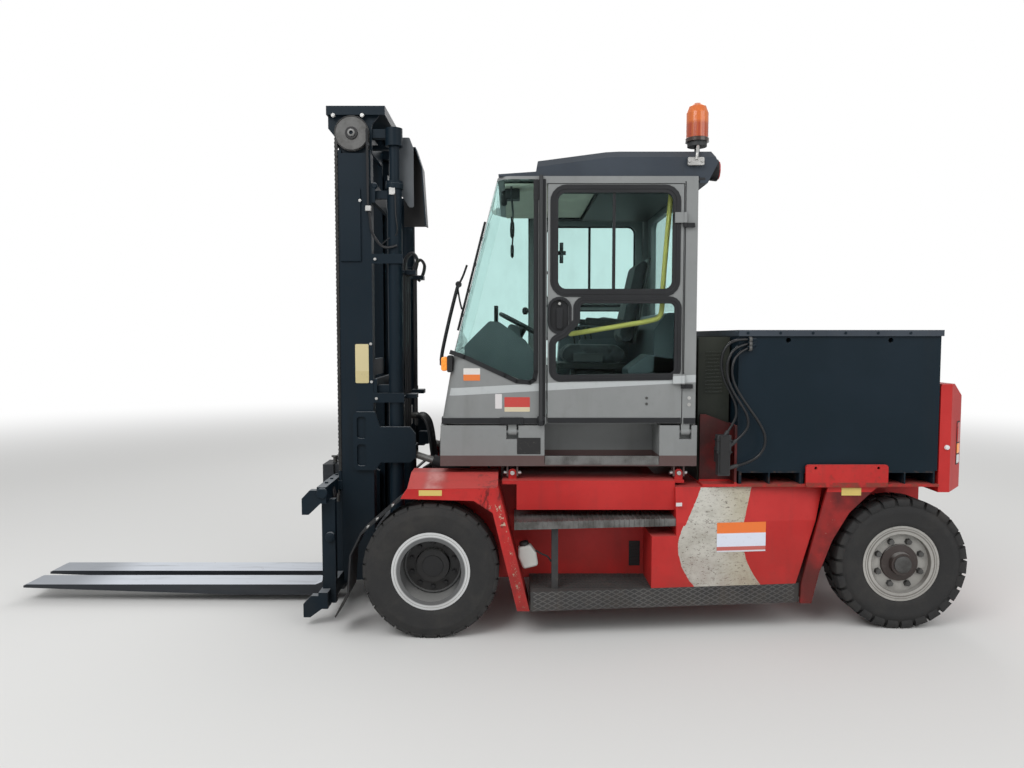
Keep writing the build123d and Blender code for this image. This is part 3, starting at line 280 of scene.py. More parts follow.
def stripeMark(shader):  # pale stripe that climbs along the cab's side
    station = shader.axis("X") - frontAxle
    foot = shader.axis("Z") - station * 0.0557 - 1.404
    side = abs(shader.axis("Y")) > 0.70
    mask = (foot > 0) * (foot < 0.044) * side
    return mask, (0.43, 0.455, 0.46)


def footMark(shader):  # brown band along the skirt's foot
    height = shader.axis("Z")
    return (height < 1.055) * (height > 0.9), (0.085, 0.045, 0.042)


def reachFrom(shader, station):  # distance from an axle, in metres
    across = shader.axis("X") - frontAxle - station / 1000
    up = shader.axis("Z") - truck["axleHeight"] / 1000
    return (across * across + up * up).root()


def wheelMark(station, radius, colour):  # what lies within a radius of the axle
    def mark(shader):
        return reachFrom(shader, station) < radius / 1000, colour
    return mark


def barrelMark(station, inner, outer, strength, colour):  # shade that deepens towards the sunk disc
    def mark(shader):
        return (1 - reachFrom(shader, station).step(inner / 1000, outer / 1000)) * strength, colour
    return mark


def ringShadeMark(station, rings):  # painted shade lines in the grooves where the rim's rings step down: radius and half width
    def mark(shader):
        reach = reachFrom(shader, station)
        lines = abs(reach - rings[0][0] / 1000) < rings[0][1] / 1000
        for radius, half in rings[1:]:
            lines = lines.most(abs(reach - radius / 1000) < half / 1000)
        return lines * 0.75, (0.10, 0.09, 0.08)
    return mark


def scuffMark(shader):  # chips on the front strut's edge, scuffs at the fender's corner, worn top with a painted highlight, rear dirt
    station = shader.axis("X") - frontAxle
    height = shader.axis("Z")
    edge = abs(station - 0.432 - (0.627 - height) * 0.2506) < 0.016
    chips = shader.noise(42.0, 6, 0.7).step(0.56, 0.60) * edge * (height < 0.8)
    corner = (station > 0.27) * (station < 0.46) * (height > 0.66)
    scratch = shader.noise(18.0, 8, 0.75, stretch=(1, 1, 0.35)).step(0.50, 0.60) * corner * 0.75
    rear = (station > 2.1) * (height < 0.84) * (shader.noise(5.0, 5).step(0.25, 0.6) * 0.5 + 0.35)
    # the fender's crown: worn paint, lightened as a painted sky highlight on faces that look up
    crown = abs(station - 0.025).step(0.085, 0.03) * shader.upward()
    worn = crown * shader.noise(9.0, 6).step(0.15, 0.6) * 0.7
    tint = shader.blend(chips, (0.035, 0.006, 0.006), (0.50, 0.38, 0.28))
    tint = shader.blend(worn, tint, (0.72, 0.45, 0.42))
    return chips.most(scratch).most(rear).most(worn), tint


def shadeMark(shader):  # painted shade with oily dirt behind the cab, and rust along the platform's top edge
    station = shader.axis("X") - frontAxle
    height = shader.axis("Z")
    # painted shade, darkened further by dirt, in the gap behind the cab
    corner = (station < 1.80) * (height > 0.9) * (shader.noise(7.0, 5).step(0.2, 0.7) * 0.3 + 0.65)
    rust = (height < 0.9) * (height > 0.868) * (station > 1.8) * shader.noise(20.0, 6).step(0.35, 0.6) * 0.7
    tint = shader.blend(rust, (0.022, 0.008, 0.008), (0.13, 0.055, 0.03))
    return corner.most(rust), tint


def forkFinish():  # dark blades, rubbed bright along the top, with a painted sky sheen on the top faces
    shader = Shader("worn fork steel")
    scratch = shader.noise(14.0, 8, 0.7, stretch=(0.12, 1, 1))
    top = shader.upward() * (shader.axis("Z") < 0.3)
    tip = (shader.axis("X") - frontAxle).step(-2.50, -2.1)
    # bare rubbed steel on the tops, lightened further as a painted sky reflection
    rubAndSheen = top * (scratch.step(0.2, 0.5) * 0.4 + 0.6) * (tip * 0.5 + 0.5)
    colour = shader.blend(scratch.step(0.4, 0.75), (0.008, 0.011, 0.016), (0.022, 0.027, 0.034))
    colour = shader.blend(rubAndSheen, colour, (0.62, 0.66, 0.72))
    rust = shader.noise(22.0, 7, 0.7).step(0.62, 0.74)
    colour = shader.blend(rust * 0.3, colour, (0.09, 0.06, 0.045))
    normal = shader.bump(scratch, 0.15, 0.002)
    return shader.finish(colour=colour, rough=0.42 + scratch * 0.15, normal=normal)


def steelFinish(name, tone, grimy, metal=0.85):
    shader = Shader(name)
    grain = shader.noise(60.0, 5, 0.6, stretch=(1, 1, 0.3))
    grime = shader.noise(7.0, 6, 0.65)
    bright = (tone, tone, tone * 0.98)
    dull = (tone * 0.35, tone * 0.335, tone * 0.31)
    colour = shader.blend(grime.step(0.35, 0.7) * grimy, bright, dull)
    normal = shader.bump(grain, 0.1, 0.001)
    return shader.finish(colour=colour, metal=metal, rough=0.34 + grain * 0.25, normal=normal)


def rubberFinish(name, tone, dusty):
    shader = Shader(name)
    grain = shader.noise(120.0, 6, 0.65)
    dust = shader.noise(4.5, 7, 0.7)
    base = (tone, tone, tone * 1.03)
    pale = (tone * 2.2, tone * 2.05, tone * 1.85)
    colour = shader.blend(dust.step(0.4, 0.72) * dusty, base, pale)
    return shader.finish(colour=colour, rough=0.72 + grain * 0.15, normal=shader.bump(grain, 0.25, 0.0012))


def glassFinish():  # light green tint with a thin dirt film
    shader = Shader("tinted glass")
    smear = shader.noise(3.5, 6, 0.7, stretch=(1, 1, 0.5))
    colour = shader.blend(smear.step(0.4, 0.75), (0.72, 0.885, 0.865), (0.67, 0.82, 0.80))
    return shader.finish(colour=colour, rough=0.0 + smear.step(0.6, 0.9) * 0.02, through=1.0, ior=1.12)


def plasticFinish(name, colour, rough=0.5):
    shader = Shader(name)
    grain = shader.noise(340.0, 3)
    wear = shader.noise(5.0, 5)
    pale = tuple(c * 1.35 + 0.004 for c in colour)
    tint = shader.blend(wear.step(0.45, 0.8) * 0.6, colour, pale)
    return shader.finish(colour=tint, rough=rough + wear * 0.1, normal=shader.bump(grain, 0.2, 0.0008))


def lensFinish(name, colour, rim, glow=0.25):
    shader = Shader(name)
    rib = shader.cells(90.0)
    tint = shader.blend(rib.step(0.3, 0.6) * 0.5, colour, rim)
    return shader.finish(colour=tint, rough=0.16, coat=0.4, coatRough=0.08, glow=tint, glowStrength=glow,
                         normal=shader.bump(rib, 0.15, 0.001))


def beaconFinish():  # amber dome over a darker lower half and a brown foot
    shader = Shader("amber beacon")
    height = shader.axis("Z")
    foot = height < 2.948
    rib = shader.noise(90.0, 2, stretch=(1, 1, 0.02))
    colour = shader.blend(height.step(3.02, 3.05), (0.36, 0.045, 0.010), (0.60, 0.13, 0.02))
    colour = shader.blend(rib.step(0.45, 0.62) * 0.25, colour, (0.70, 0.22, 0.05))
    colour = shader.blend(foot, colour, (0.035, 0.018, 0.012))
    light = shader.blend(foot, colour, (0.0, 0.0, 0.0))
    return shader.finish(colour=colour, rough=0.18, coat=0.5, coatRough=0.06, glow=light, glowStrength=0.06,
                         normal=shader.bump(rib, 0.12, 0.002))


def fabricFinish():
    shader = Shader("seat cloth")
    weave = shader.cells(420.0)
    blotch = shader.noise(7.0, 5)
    colour = shader.blend(blotch.step(0.35, 0.75), (0.025, 0.026, 0.03), (0.05, 0.052, 0.058))
    return shader.finish(colour=colour, rough=0.9, normal=shader.bump(weave, 0.4, 0.0015), sheen=0.2)


def labelFinish(name, bands):  # blank sticker in flat bands: each band's foot in millimetres, and its colour
    shader = Shader(name)
    height = shader.axis("Z") * 1000
    colour = bands[0][1]
    for foot, tint in bands[1:]:
        colour = shader.blend(height > foot, colour, tint)
    film = shader.noise(60.0, 6, 0.7)
    colour = shader.blend(film.step(0.55, 0.8) * 0.35, colour, (0.22, 0.20, 0.17))
    return shader.finish(colour=colour, rough=0.45 + film * 0.1)


frontDark = wheelMark(0.0, 159.0, (0.012, 0.012, 0.013))
rearDark = wheelMark(truck["rearAxle"], 112.0, (0.028, 0.018, 0.016))
# painted shade lines at the rims' ring steps
rearRings = ringShadeMark(truck["rearAxle"], ((180.0, 1.6), (201.0, 4.0), (214.0, 2.0)))
frontDeep = barrelMark(0.0, 197.0, 206.0, 0.9, (0.05, 0.052, 0.054))
frontGrooveShade = ringShadeMark(0.0, ((215.0, 1.2),))
finishes = {
    "red_paint": paintFinish("red paint", redLook),
    "grey_paint": paintFinish("grey cab paint", greyLook, (stripeMark, footMark)),
    "mast_paint": paintFinish("mast paint", mastLook),
    "black_paint": paintFinish("black paint", blackLook),
    "fork_paint": forkFinish(),
    "bare_steel": steelFinish("bare steel", 0.28, 1.0),
    "tyre_rubber": rubberFinish("tyre rubber", 0.016, 0.7),
    "window_glass": glassFinish(),
    "cab_plastic": plasticFinish("cab plastic", (0.022, 0.024, 0.026)),
    "cabinPlastic": plasticFinish("cabin plastic", (0.070, 0.080, 0.090)),
    "cable_rubber": plasticFinish("cable rubber", (0.0035, 0.0045, 0.006), 0.3),
    "seat_fabric": fabricFinish(),
    "amber_lens": beaconFinish(),
    "frontRim": paintFinish("silver rim paint", frontRimLook, (frontDeep, frontGrooveShade, frontDark)),
    "rearRim": paintFinish("cream rim paint", rimLook, (rearDark, rearRings)),
    "fenderRed": paintFinish("scuffed red paint", fenderLook, (scuffMark,)),
    "tankRed": paintFinish("tank paint", redLook, (sweepMark,)),
    "platformRed": paintFinish("platform paint", platformLook, (shadeMark,)),
    "casePaint": paintFinish("battery case paint", caseLook),
    "palletPaint": paintFinish("pallet paint", palletLook),
    "housingPaint": paintFinish("housing paint", housingLook),
    "roofPaint": paintFinish("roof paint", roofLook),
    "boardPaint": paintFinish("running board paint", boardLook),
    "boardBars": paintFinish("worn board bars", barLook),
    "greasyChain": steelFinish("greasy chain", 0.035, 0.8, 0.4),
    "greasySteel": steelFinish("greasy steel", 0.11, 0.9, 0.5),
    "stepSteel": steelFinish("galvanised steel", 0.20, 0.9, 0.5),
    "brightSteel": steelFinish("bright steel", 0.55, 0.4, 0.8),
    "gasket": plasticFinish("gasket rubber", (0.004, 0.005, 0.007), 0.4),
    "darkPlastic": plasticFinish("dark plastic", (0.008, 0.008, 0.009), 0.5),
    "dashPlastic": plasticFinish("dash plastic", (0.095, 0.108, 0.115), 0.5),
    "headliner": plasticFinish("headliner", (0.78, 0.74, 0.62), 0.8),
    "hoseRubber": plasticFinish("hose rubber", (0.005, 0.006, 0.008), 0.36),
    "whitePlastic": plasticFinish("white plastic", (0.44, 0.44, 0.42), 0.5),
    "railYellow": plasticFinish("yellow rail paint", (0.66, 0.50, 0.12), 0.4),
    # the hood cheeks' paint is lightened as a painted sky reflection
    "hoodSheenGrey": plasticFinish("hose hood paint", (0.075, 0.085, 0.095), 0.4),
    "orangeLens": lensFinish("orange lens", (0.80, 0.22, 0.02), (0.95, 0.38, 0.05)),
    "redLens": lensFinish("red lens", (0.38, 0.012, 0.01), (0.55, 0.03, 0.02), 0.1),
    "clearLens": lensFinish("clear lens", (0.55, 0.56, 0.56), (0.75, 0.76, 0.77), 0.1),
    "yellowLabel": labelFinish("yellow label", [(0, (0.62, 0.47, 0.13))]),
    "mastLabel": labelFinish("mast label", [(0, (0.55, 0.47, 0.24)), (1540, (0.60, 0.52, 0.29))]),
    "signLabel": labelFinish("side sign", [(0, (0.62, 0.62, 0.66)), (497, (0.50, 0.12, 0.10)),
                                           (520, (0.68, 0.72, 0.82)), (600, (0.80, 0.18, 0.03))]),
    "orangeLabel": labelFinish("orange sticker", [(0, (0.72, 0.19, 0.04)), (1536, (0.66, 0.64, 0.62))]),
    "whiteLabel": labelFinish("white sticker", [(0, (0.62, 0.60, 0.60))]),
    "redLabel": labelFinish("red sticker", [(0, (0.60, 0.52, 0.36)), (1343, (0.50, 0.05, 0.04))]),
    "blackLabel": labelFinish("black plate", [(0, (0.010, 0.010, 0.011))]),
}
nodeFinishes = {
    "front_left_rim": "frontRim", "front_right_rim": "frontRim", "rear_left_rim": "rearRim",
    "rear_right_rim": "rearRim", "front_fenders": "fenderRed", "rear_fenders": "fenderRed",
    "side_tanks": "tankRed", "battery_platform": "platformRed", "battery_case": "casePaint",
    "battery_lid": "roofPaint", "battery_pallet": "palletPaint", "electrics_housing": "housingPaint",
    "cab_roof": "roofPaint", "lower_steps": "boardPaint", "chain_sheaves": "greasySteel",
    "tread_steps": "stepSteel"}
slotOf = {entry["node"]: entry["material_slot"] for entry in frame["record"]["subparts"]}
for nodeName, obj in nodes.items():
    obj.data.materials.clear()
    obj.data.materials.append(finishes[nodeFinishes.get(nodeName, slotOf[nodeName])])
print("finishes on", len(nodes), "nodes")


# Mesh building; outlines and places are millimetre stations

def areaOf(corners):  # twice the outline's area, positive when it runs anticlockwise
    pairs = zip(corners[-1:] + corners[:-1], corners)
    return sum(before[0] * corner[1] - corner[0] * before[1] for before, corner in pairs)


def spread(corners, distance):  # the outline moved outwards
    count = len(corners)
    out = distance if areaOf(corners) > 0 else -distance
    moved = []
    for i in range(count):
        before = (Vector(corners[i]) - Vector(corners[i - 1])).normalized()
        after = (Vector(corners[(i + 1) % count]) - Vector(corners[i])).normalized()
        first, second = Vector((before.y, -before.x)), Vector((after.y, -after.x))
        moved.append(tuple(Vector(corners[i]) + (first + second) / (1 + first.dot(second)) * out))
    return moved


def rounded(corners, radius, grow=0.0):  # corners rounded; grow widens outer bends and tightens inner ones
    points = []
    count = len(corners)
    area = areaOf(corners)
    for i in range(count):
        corner = Vector(corners[i])
        before = Vector(corners[i - 1]) - corner
        after = Vector(corners[(i + 1) % count]) - corner
        half = before.angle(after) / 2
        outer = (after.x * before.y - after.y * before.x) * area > 0
        bend = max(radius + (grow if outer else -grow), 3.0)
        reach = min(bend / math.tan(half), 0.49 * before.length, 0.49 * after.length)
        bend = reach * math.tan(half)
        middle = corner + (before.normalized() + after.normalized()).normalized() * bend / math.sin(half)
        first = corner + before.normalized() * reach - middle
        last = corner + after.normalized() * reach - middle
        for k in range(6):
            points.append(tuple(middle + first.lerp(last, k / 5).normalized() * bend))
    return points


def curved(points, steps=6):  # a smooth line through the points
    line = [Vector(p) for p in points]
    ends = [2 * line[0] - line[1]] + line + [2 * line[-1] - line[-2]]
    smooth = []
    for i in range(1, len(ends) - 2):
        a, b, c, d = ends[i - 1:i + 3]
        for k in range(steps):
            t = k / steps
            smooth.append((b * 2 + (c - a) * t + (a * 2 - b * 5 + c * 4 - d) * t * t
                           + (b * 3 - a - c * 3 + d) * t * t * t) / 2)
    return smooth + [line[-1]]


def stand(plane, point, depth):  # a point of an outline in its plane, at a depth across it
    a, b = point
    return {"xz": (a, depth, b), "xy": (a, b, depth), "yz": (depth, a, b)}[plane]


def facing(profile, side, face=0.0):  # (radius, rise) on the outer face of the left or right wall
    return [(radius, side * (face + rise)) for radius, rise in profile]


class Shape:  # gathers the faces of one piece
    def __init__(self):
        self.mesh = bmesh.new()

    def skin(self, rings, closed=False, merge=False):
        rows = [[self.mesh.verts.new(point) for point in ring] for ring in rings]
        for low, high in zip(rows, rows[1:] + (rows[:1] if closed else [])):
            for i, corner in enumerate(low):
                j = (i + 1) % len(low)
                self.mesh.faces.new((corner, low[j], high[j], high[i]))
        if not closed:
            self.mesh.faces.new(rows[0])
            self.mesh.faces.new(rows[-1])
        if merge:
            bmesh.ops.remove_doubles(self.mesh, verts=[v for row in rows for v in row], dist=1e-6)
        return self

    def slab(self, outline, plane, low, high):
        return self.skin([[at(*stand(plane, point, depth)) for point in outline] for depth in (low, high)])

    def box(self, x0, x1, y0, y1, z0, z1):
        return self.slab([(x0, z0), (x1, z0), (x1, z1), (x0, z1)], "xz", y0, y1)

    def frame(self, corners, radius, grow, shrink, plane, low, high):  # flat ring round an outline
        outer = rounded(spread(corners, grow), radius, grow)
        inner = rounded(spread(corners, -shrink), radius, -shrink)
        rings = [(outer, low), (outer, high), (inner, high), (inner, low)]
        return self.skin([[at(*stand(plane, point, depth)) for point in ring] for ring, depth in rings], True)

    def tube(self, path, radius, sides=10):
        places = [at(*point) for point in path]
        forward = (places[1] - places[0]).normalized()
        side = forward.orthogonal().normalized()
        rings = []
        for i, place in enumerate(places):
            before, after = places[max(i - 1, 0)], places[min(i + 1, len(places) - 1)]
            ahead = (after - before).normalized()
            side = (side - ahead * side.dot(ahead)).normalized()
            over = ahead.cross(side)
            turns = [2 * math.pi * k / sides for k in range(sides)]
            rings.append([place + (side * math.cos(a) + over * math.sin(a)) * radius / 1000 for a in turns])
        return self.skin(rings)

    def lathe(self, profile, centre, axis="y", steps=40):  # closed outline of (radius, offset), turned
        rings = []
        for k in range(steps):
            turn = 2 * math.pi * k / steps
            ring = []
            for radius, offset in profile:
                a, b = radius * math.sin(turn), radius * math.cos(turn)
                local = {"x": (offset, a, b), "y": (a, offset, b), "z": (a, b, offset)}[axis]
                ring.append(at(*centre) + Vector(local) / 1000)
            rings.append(ring)
        return self.skin(rings, closed=True, merge=True)

    def take(self, mesh):
        self.mesh.from_mesh(mesh)
        bpy.data.meshes.remove(mesh)
        return self

    def turned(self, centre, axis, angle):  # the whole shape turned about a place, in degrees
        spot = at(*centre)
        turn = Matrix.Rotation(math.radians(angle), 4, axis)
        self.mesh.transform(Matrix.Translation(spot) @ turn @ Matrix.Translation(-spot))
        return self

    def plain(self, name):  # a loose mesh object for a Geometry Nodes tree to repeat
        bmesh.ops.recalc_face_normals(self.mesh, faces=self.mesh.faces)
        mesh = bpy.data.meshes.new(name)
        self.mesh.to_mesh(mesh)
        self.mesh.free()
        obj = bpy.data.objects.new(name, mesh)
        bpy.context.scene.collection.objects.link(obj)
        return obj

    def piece(self, name, body, finish, bevel=0.0, smooth=35.0, replaced=()):
        obj = self.plain(name)
        obj.data.shade_smooth()
        obj.data.set_sharp_from_angle(angle=math.radians(smooth))
        obj.data.materials.append(finishes[finish])
        if bevel:
            modifier = obj.modifiers.new("edges", "BEVEL")
            modifier.width = bevel / 1000
            modifier.segments = 2
            modifier.limit_method = "ANGLE"
            modifier.angle_limit = math.radians(40)
        if body:
            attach(obj, body)
        if replaced:
            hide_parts(*replaced)
        return obj


def sticker(name, body, finish, x0, x1, z0, z1, out, radius=0.0, proud=1.4):  # blank, on the left wall
    outline = [(x0, z0), (x1, z0), (x1, z1), (x0, z1)]
    if radius:
        outline = rounded(outline, radius)
    Shape().slab(outline, "xz", -out - proud, -out - 0.1).piece(name, body, finish)


class Tree:  # a Geometry Nodes tree with named inputs
    def __init__(self, name, inputs):
        self.group = bpy.data.node_groups.new(name, "GeometryNodeTree")
        sockets = self.group.interface
        sockets.new_socket("Geometry", in_out="INPUT", socket_type="NodeSocketGeometry")
        sockets.new_socket("Geometry", in_out="OUTPUT", socket_type="NodeSocketGeometry")
        self.keys = {}
        for label, kind in inputs.items():
            made = sockets.new_socket(label, in_out="INPUT", socket_type="NodeSocket" + kind)
            self.keys[label] = made.identifier
        self.source = self.group.nodes.new("NodeGroupInput").outputs
        self.sink = self.group.nodes.new("NodeGroupOutput").inputs

    def node(self, kind, inputs=None, output=0, **settings):
        made = self.group.nodes.new(kind)
        for key, value in settings.items():
            setattr(made, key, value)
        for key, value in (inputs or {}).items():
            if isinstance(value, bpy.types.NodeSocket):
                self.group.links.new(value, made.inputs[key])
            else:
                made.inputs[key].default_value = value
        return made.outputs[output]

    def close(self, geometry):
        real = self.node("GeometryNodeRealizeInstances", {"Geometry": geometry})
        material = self.source["Material"]
        done = self.node("GeometryNodeSetMaterial", {"Geometry": real, "Material": material})
        self.group.links.new(done, self.sink["Geometry"])

    def grow(self, values, base=None):  # the plain mesh that the tree gives
        base = base or bpy.data.meshes.new(self.group.name)
        holder = bpy.data.objects.new(self.group.name, base)
        bpy.context.scene.collection.objects.link(holder)
        modifier = holder.modifiers.new("tree", "NODES")
        modifier.node_group = self.group
        for label, value in values.items():
            modifier[self.keys[label]] = value
        bpy.context.view_layer.update()
        seen = holder.evaluated_get(bpy.context.evaluated_depsgraph_get())
        grown = bpy.data.meshes.new_from_object(seen)
        holder.modifiers.remove(modifier)
        bpy.data.objects.remove(holder)
        part = values.get("Part")
        if part:
            bpy.data.objects.remove(part)
        return grown


def makeRingTree():
    tree = Tree("ring of parts", {"Part": "Object", "Count": "Int", "Centre": "Vector",
                                  "Material": "Material"})
    part = tree.node("GeometryNodeObjectInfo", {"Object": tree.source["Part"]}, output="Geometry")
    inputs = {"Count": tree.source["Count"], "Start Location": tree.source["Centre"],
              "Offset": (0, 0, 0)}
    points = tree.node("GeometryNodeMeshLine", inputs)
    index = tree.node("GeometryNodeInputIndex")
    share = tree.node("ShaderNodeMath", {0: index, 1: tree.source["Count"]}, operation="DIVIDE")
    turn = tree.node("ShaderNodeMath", {0: share, 1: 2 * math.pi}, operation="MULTIPLY")
    euler = tree.node("ShaderNodeCombineXYZ", {"Y": turn})
    rotation = tree.node("FunctionNodeEulerToRotation", {"Euler": euler})
    inputs = {"Points": points, "Instance": part, "Rotation": rotation}
    tree.close(tree.node("GeometryNodeInstanceOnPoints", inputs))
    return tree


def makeRowTree():
    tree = Tree("rows of parts", {"Part": "Object", "Count": "Int", "Step": "Vector", "Rows": "Int",
                                  "Row Step": "Vector", "Material": "Material"})
    part = tree.node("GeometryNodeObjectInfo", {"Object": tree.source["Part"]}, output="Geometry")
    inputs = {"Count": tree.source["Count"], "Offset": tree.source["Step"]}
    line = tree.node("GeometryNodeMeshLine", inputs)
    row = tree.node("GeometryNodeInstanceOnPoints", {"Points": line, "Instance": part})
    inputs = {"Count": tree.source["Rows"], "Offset": tree.source["Row Step"]}
    starts = tree.node("GeometryNodeMeshLine", inputs)
    tree.close(tree.node("GeometryNodeInstanceOnPoints", {"Points": starts, "Instance": row}))
    return tree


def makeBoltTree():  # a washer and a six-sided head on each point, aimed by the point's own direction
    tree = Tree("bolts", {"Head Radius": "Float", "Head Height": "Float", "Washer Radius": "Float",
                          "Material": "Material"})
    radius, height, wide = (tree.source[name] for name in ("Head Radius", "Head Height", "Washer Radius"))
    head = tree.node("GeometryNodeMeshCylinder", {"Vertices": 6, "Radius": radius, "Depth": height})
    washer = tree.node("GeometryNodeMeshCylinder", {"Vertices": 16, "Radius": wide, "Depth": 0.005})
    middle = tree.node("ShaderNodeMath", {0: height, 1: 0.5}, operation="MULTIPLY")
    up = tree.node("ShaderNodeCombineXYZ", {"Z": middle})
    head = tree.node("GeometryNodeTransform", {"Geometry": head, "Translation": up})
    both = tree.group.nodes.new("GeometryNodeJoinGeometry")
    tree.group.links.new(head, both.inputs[0])
    tree.group.links.new(washer, both.inputs[0])
    aim = tree.node("GeometryNodeInputNamedAttribute", {"Name": "aim"}, data_type="FLOAT_VECTOR")
    rotation = tree.node("FunctionNodeAlignRotationToVector", {"Vector": aim}, axis="Z")
    inputs = {"Points": tree.source["Geometry"], "Instance": both.outputs[0], "Rotation": rotation}
    tree.close(tree.node("GeometryNodeInstanceOnPoints", inputs))
    return tree


ringTree, rowTree, boltTree = makeRingTree(), makeRowTree(), makeBoltTree()


def bolts(name, body, finish, places, head=9.0, height=8.0, washer=12.0):  # places: (x, y, z), direction
    mesh = bpy.data.meshes.new(name)
    mesh.from_pydata([at(*place) for place, aim in places], [], [])
    aims = [value for place, aim in places for value in aim]
    mesh.attributes.new("aim", "FLOAT_VECTOR", "POINT").data.foreach_set("vector", aims)
    grown = boltTree.grow({"Head Radius": head / 1000, "Head Height": height / 1000,
                           "Washer Radius": washer / 1000, "Material": finishes[finish]}, mesh)
    Shape().take(grown).piece(name, body, finish)


def rows(shape, count, step, finish, rowCount=1, rowStep=(0, 0, 0)):  # the shape repeated by steps
    return rowTree.grow({"Part": shape.plain("part"), "Count": count, "Step": [v / 1000 for v in step],
                         "Rows": rowCount, "Row Step": [v / 1000 for v in rowStep],
                         "Material": finishes[finish]})


def ringOf(shape, count, centre, finish):  # the shape, made about the origin, repeated round a centre
    return ringTree.grow({"Part": shape.plain("part"), "Count": count, "Centre": at(*centre),
                          "Material": finishes[finish]})


# Tyres

tyreLook = {"steps": 96, "frontBlocks": 28, "rearLugs": 27}
# half outlines from the bead to the middle of the tread: radius, offset from the middle plane
frontTyreLine = [(192, 84), (212, 91), (231, 92), (237, 97), (262, 103), (300, 106), (327, 106.5),
                 (331, 107.3), (339, 107.3), (343, 105.5), (366, 101), (380, 94), (388, 85), (388, 56),
                 (396.8, 54), (396.8, 32), (386, 30), (386, 24), (396.8, 22)]
rearTyreLine = [(192, 84), (212, 91), (231, 92), (237, 98), (262, 102), (300, 103), (308, 105.5),
                (332, 106), (338, 103), (352, 98), (368, 92), (380, 84), (386, 74), (387, 50)]
# tread blocks: radius, offset, half length
frontBlock = [(372, 96, 33), (380, 98, 35), (388, 96, 37), (396.4, 87, 38), (396.4, 57, 38), (380, 57, 35)]
rearBlock = [(346, 97, 29), (360, 106.5, 32), (378, 106, 35), (391, 101, 37), (396.2, 90, 38),
             (396.2, 30, 35), (396.2, 8, 22), (376, 6, 20), (376, 60, 32)]


def blockShape(outline, halfPitch):  # a tread block on each shoulder, half a pitch apart, about the origin
    shape = Shape()
    for side, turn in ((-1, 0.0), (1, halfPitch)):
        spin = Matrix.Rotation(turn, 3, "Y")
        shape.skin([[spin @ Vector((end * reach, side * offset, radius)) / 1000
                     for radius, offset, reach in outline] for end in (-1, 1)])
    return shape


def makeTyres():
    kinds = {"front": (0.0, truck["frontWheelSide"], frontTyreLine, frontBlock, tyreLook["frontBlocks"]),
             "rear": (truck["rearAxle"], truck["rearWheelSide"], rearTyreLine, rearBlock,
                      tyreLook["rearLugs"])}
    for end, (station, out, line, block, count) in kinds.items():
        for name, side in (("left", -1), ("right", 1)):
            centre = (station, side * out, truck["axleHeight"])
            profile = line + [(radius, -offset) for radius, offset in reversed(line)]
            shape = Shape().lathe(profile, centre, "y", tyreLook["steps"])
            shape.take(ringOf(blockShape(block, math.pi / count), count, centre, "tyre_rubber"))
            node = f"{end}_{name}_tyre"
            shape.piece(node + "_tread", f"{end}_{name}_wheel", "tyre_rubber", smooth=38,
                        replaced=(node,))
    print("tyres made")


# nuts: count, bolt circle's radius, turn, washer and nut as radius, lowest and highest level, and finish
rimTrim = {
    "frontFace": -51.0, "rearFace": 61.0, "turnSteps": 72,  # outer faces of the discs, from the middle plane
    "front": (10, 132.0, 0.0, ((17.0, 0, 3), (12.0, 3, 15)), "darkPlastic"),
    "rear": (8, 137.5, math.pi / 8, ((21.0, 0, 3), (17.5, 3, 22)), "greasySteel"),
    "rearRings": ((186, 59, 5), (211, 92, 4))}  # radius, level, and width, which is also the rise


def wheelNuts(name, end, side, centre, face):
    count, circle, turn, stages, finish = rimTrim[end]
    nut = Shape()
    spin = Matrix.Rotation(turn, 2)
    for radius, low, high in stages:
        corners = [k * math.pi / 3 for k in range(6)]
        outline = [spin @ Vector((radius * math.sin(a), circle + radius * math.cos(a))) for a in corners]
        nut.skin([[Vector((p.x, side * (face + depth), p.y)) / 1000 for p in outline]
                  for depth in (low, high)])
    nuts = Shape().take(ringOf(nut, count, centre, finish))
    nuts.piece(f"{end}_{name}_nuts", f"{end}_{name}_wheel", finish)


def makeWheelTrim():  # nuts, hub caps and raised rings
    for name, side in (("left", -1), ("right", 1)):
        centre = (0.0, side * truck["frontWheelSide"], truck["axleHeight"])
        face = rimTrim["frontFace"]
        cap = [(36, 34), (64, 36), (64, 40), (30, 44), (0, 44), (0, 34)]
        shape = Shape().lathe(facing(cap, side, face), centre)
        shape.piece(f"front_{name}_hub_cap", f"front_{name}_wheel", "darkPlastic", bevel=1.5)
        ring = [(162, -3), (170, -3), (168, 5), (162, 5)]
        shape = Shape().lathe(facing(ring, side, face), centre, "y", rimTrim["turnSteps"])
        shape.piece(f"front_{name}_disc_ring", f"front_{name}_wheel", "frontRim")
        wheelNuts(name, "front", side, centre, face)
        centre = (truck["rearAxle"], side * truck["rearWheelSide"], truck["axleHeight"])
        face = rimTrim["rearFace"]
        wheelNuts(name, "rear", side, centre, face)
        cap = [(0, 50), (52, 50), (50, 60), (24, 66), (0, 66)]
        shape = Shape().lathe(facing(cap, side, face), centre)
        shape.piece(f"rear_{name}_hub_cap", f"rear_{name}_wheel", "greasySteel", bevel=1.0)
        for number, (radius, level, width) in enumerate(rimTrim["rearRings"]):
            line = [(radius, level), (radius + width, level), (radius + width - 1, level + width),
                    (radius + 1, level + width)]
            ring = Shape().lathe(facing(line, side), centre, "y", rimTrim["turnSteps"])
            ring.piece(f"rear_{name}_ring_{number}", f"rear_{name}_wheel", "rearRim")
    print("wheel trim made")


makeTyres()
makeWheelTrim()


# Mast

chainLook = {"pitch": 25.4, "side": 361.0, "plate": 22.0, "width": 26.0, "inset": 8.5, "foot": 12.0}


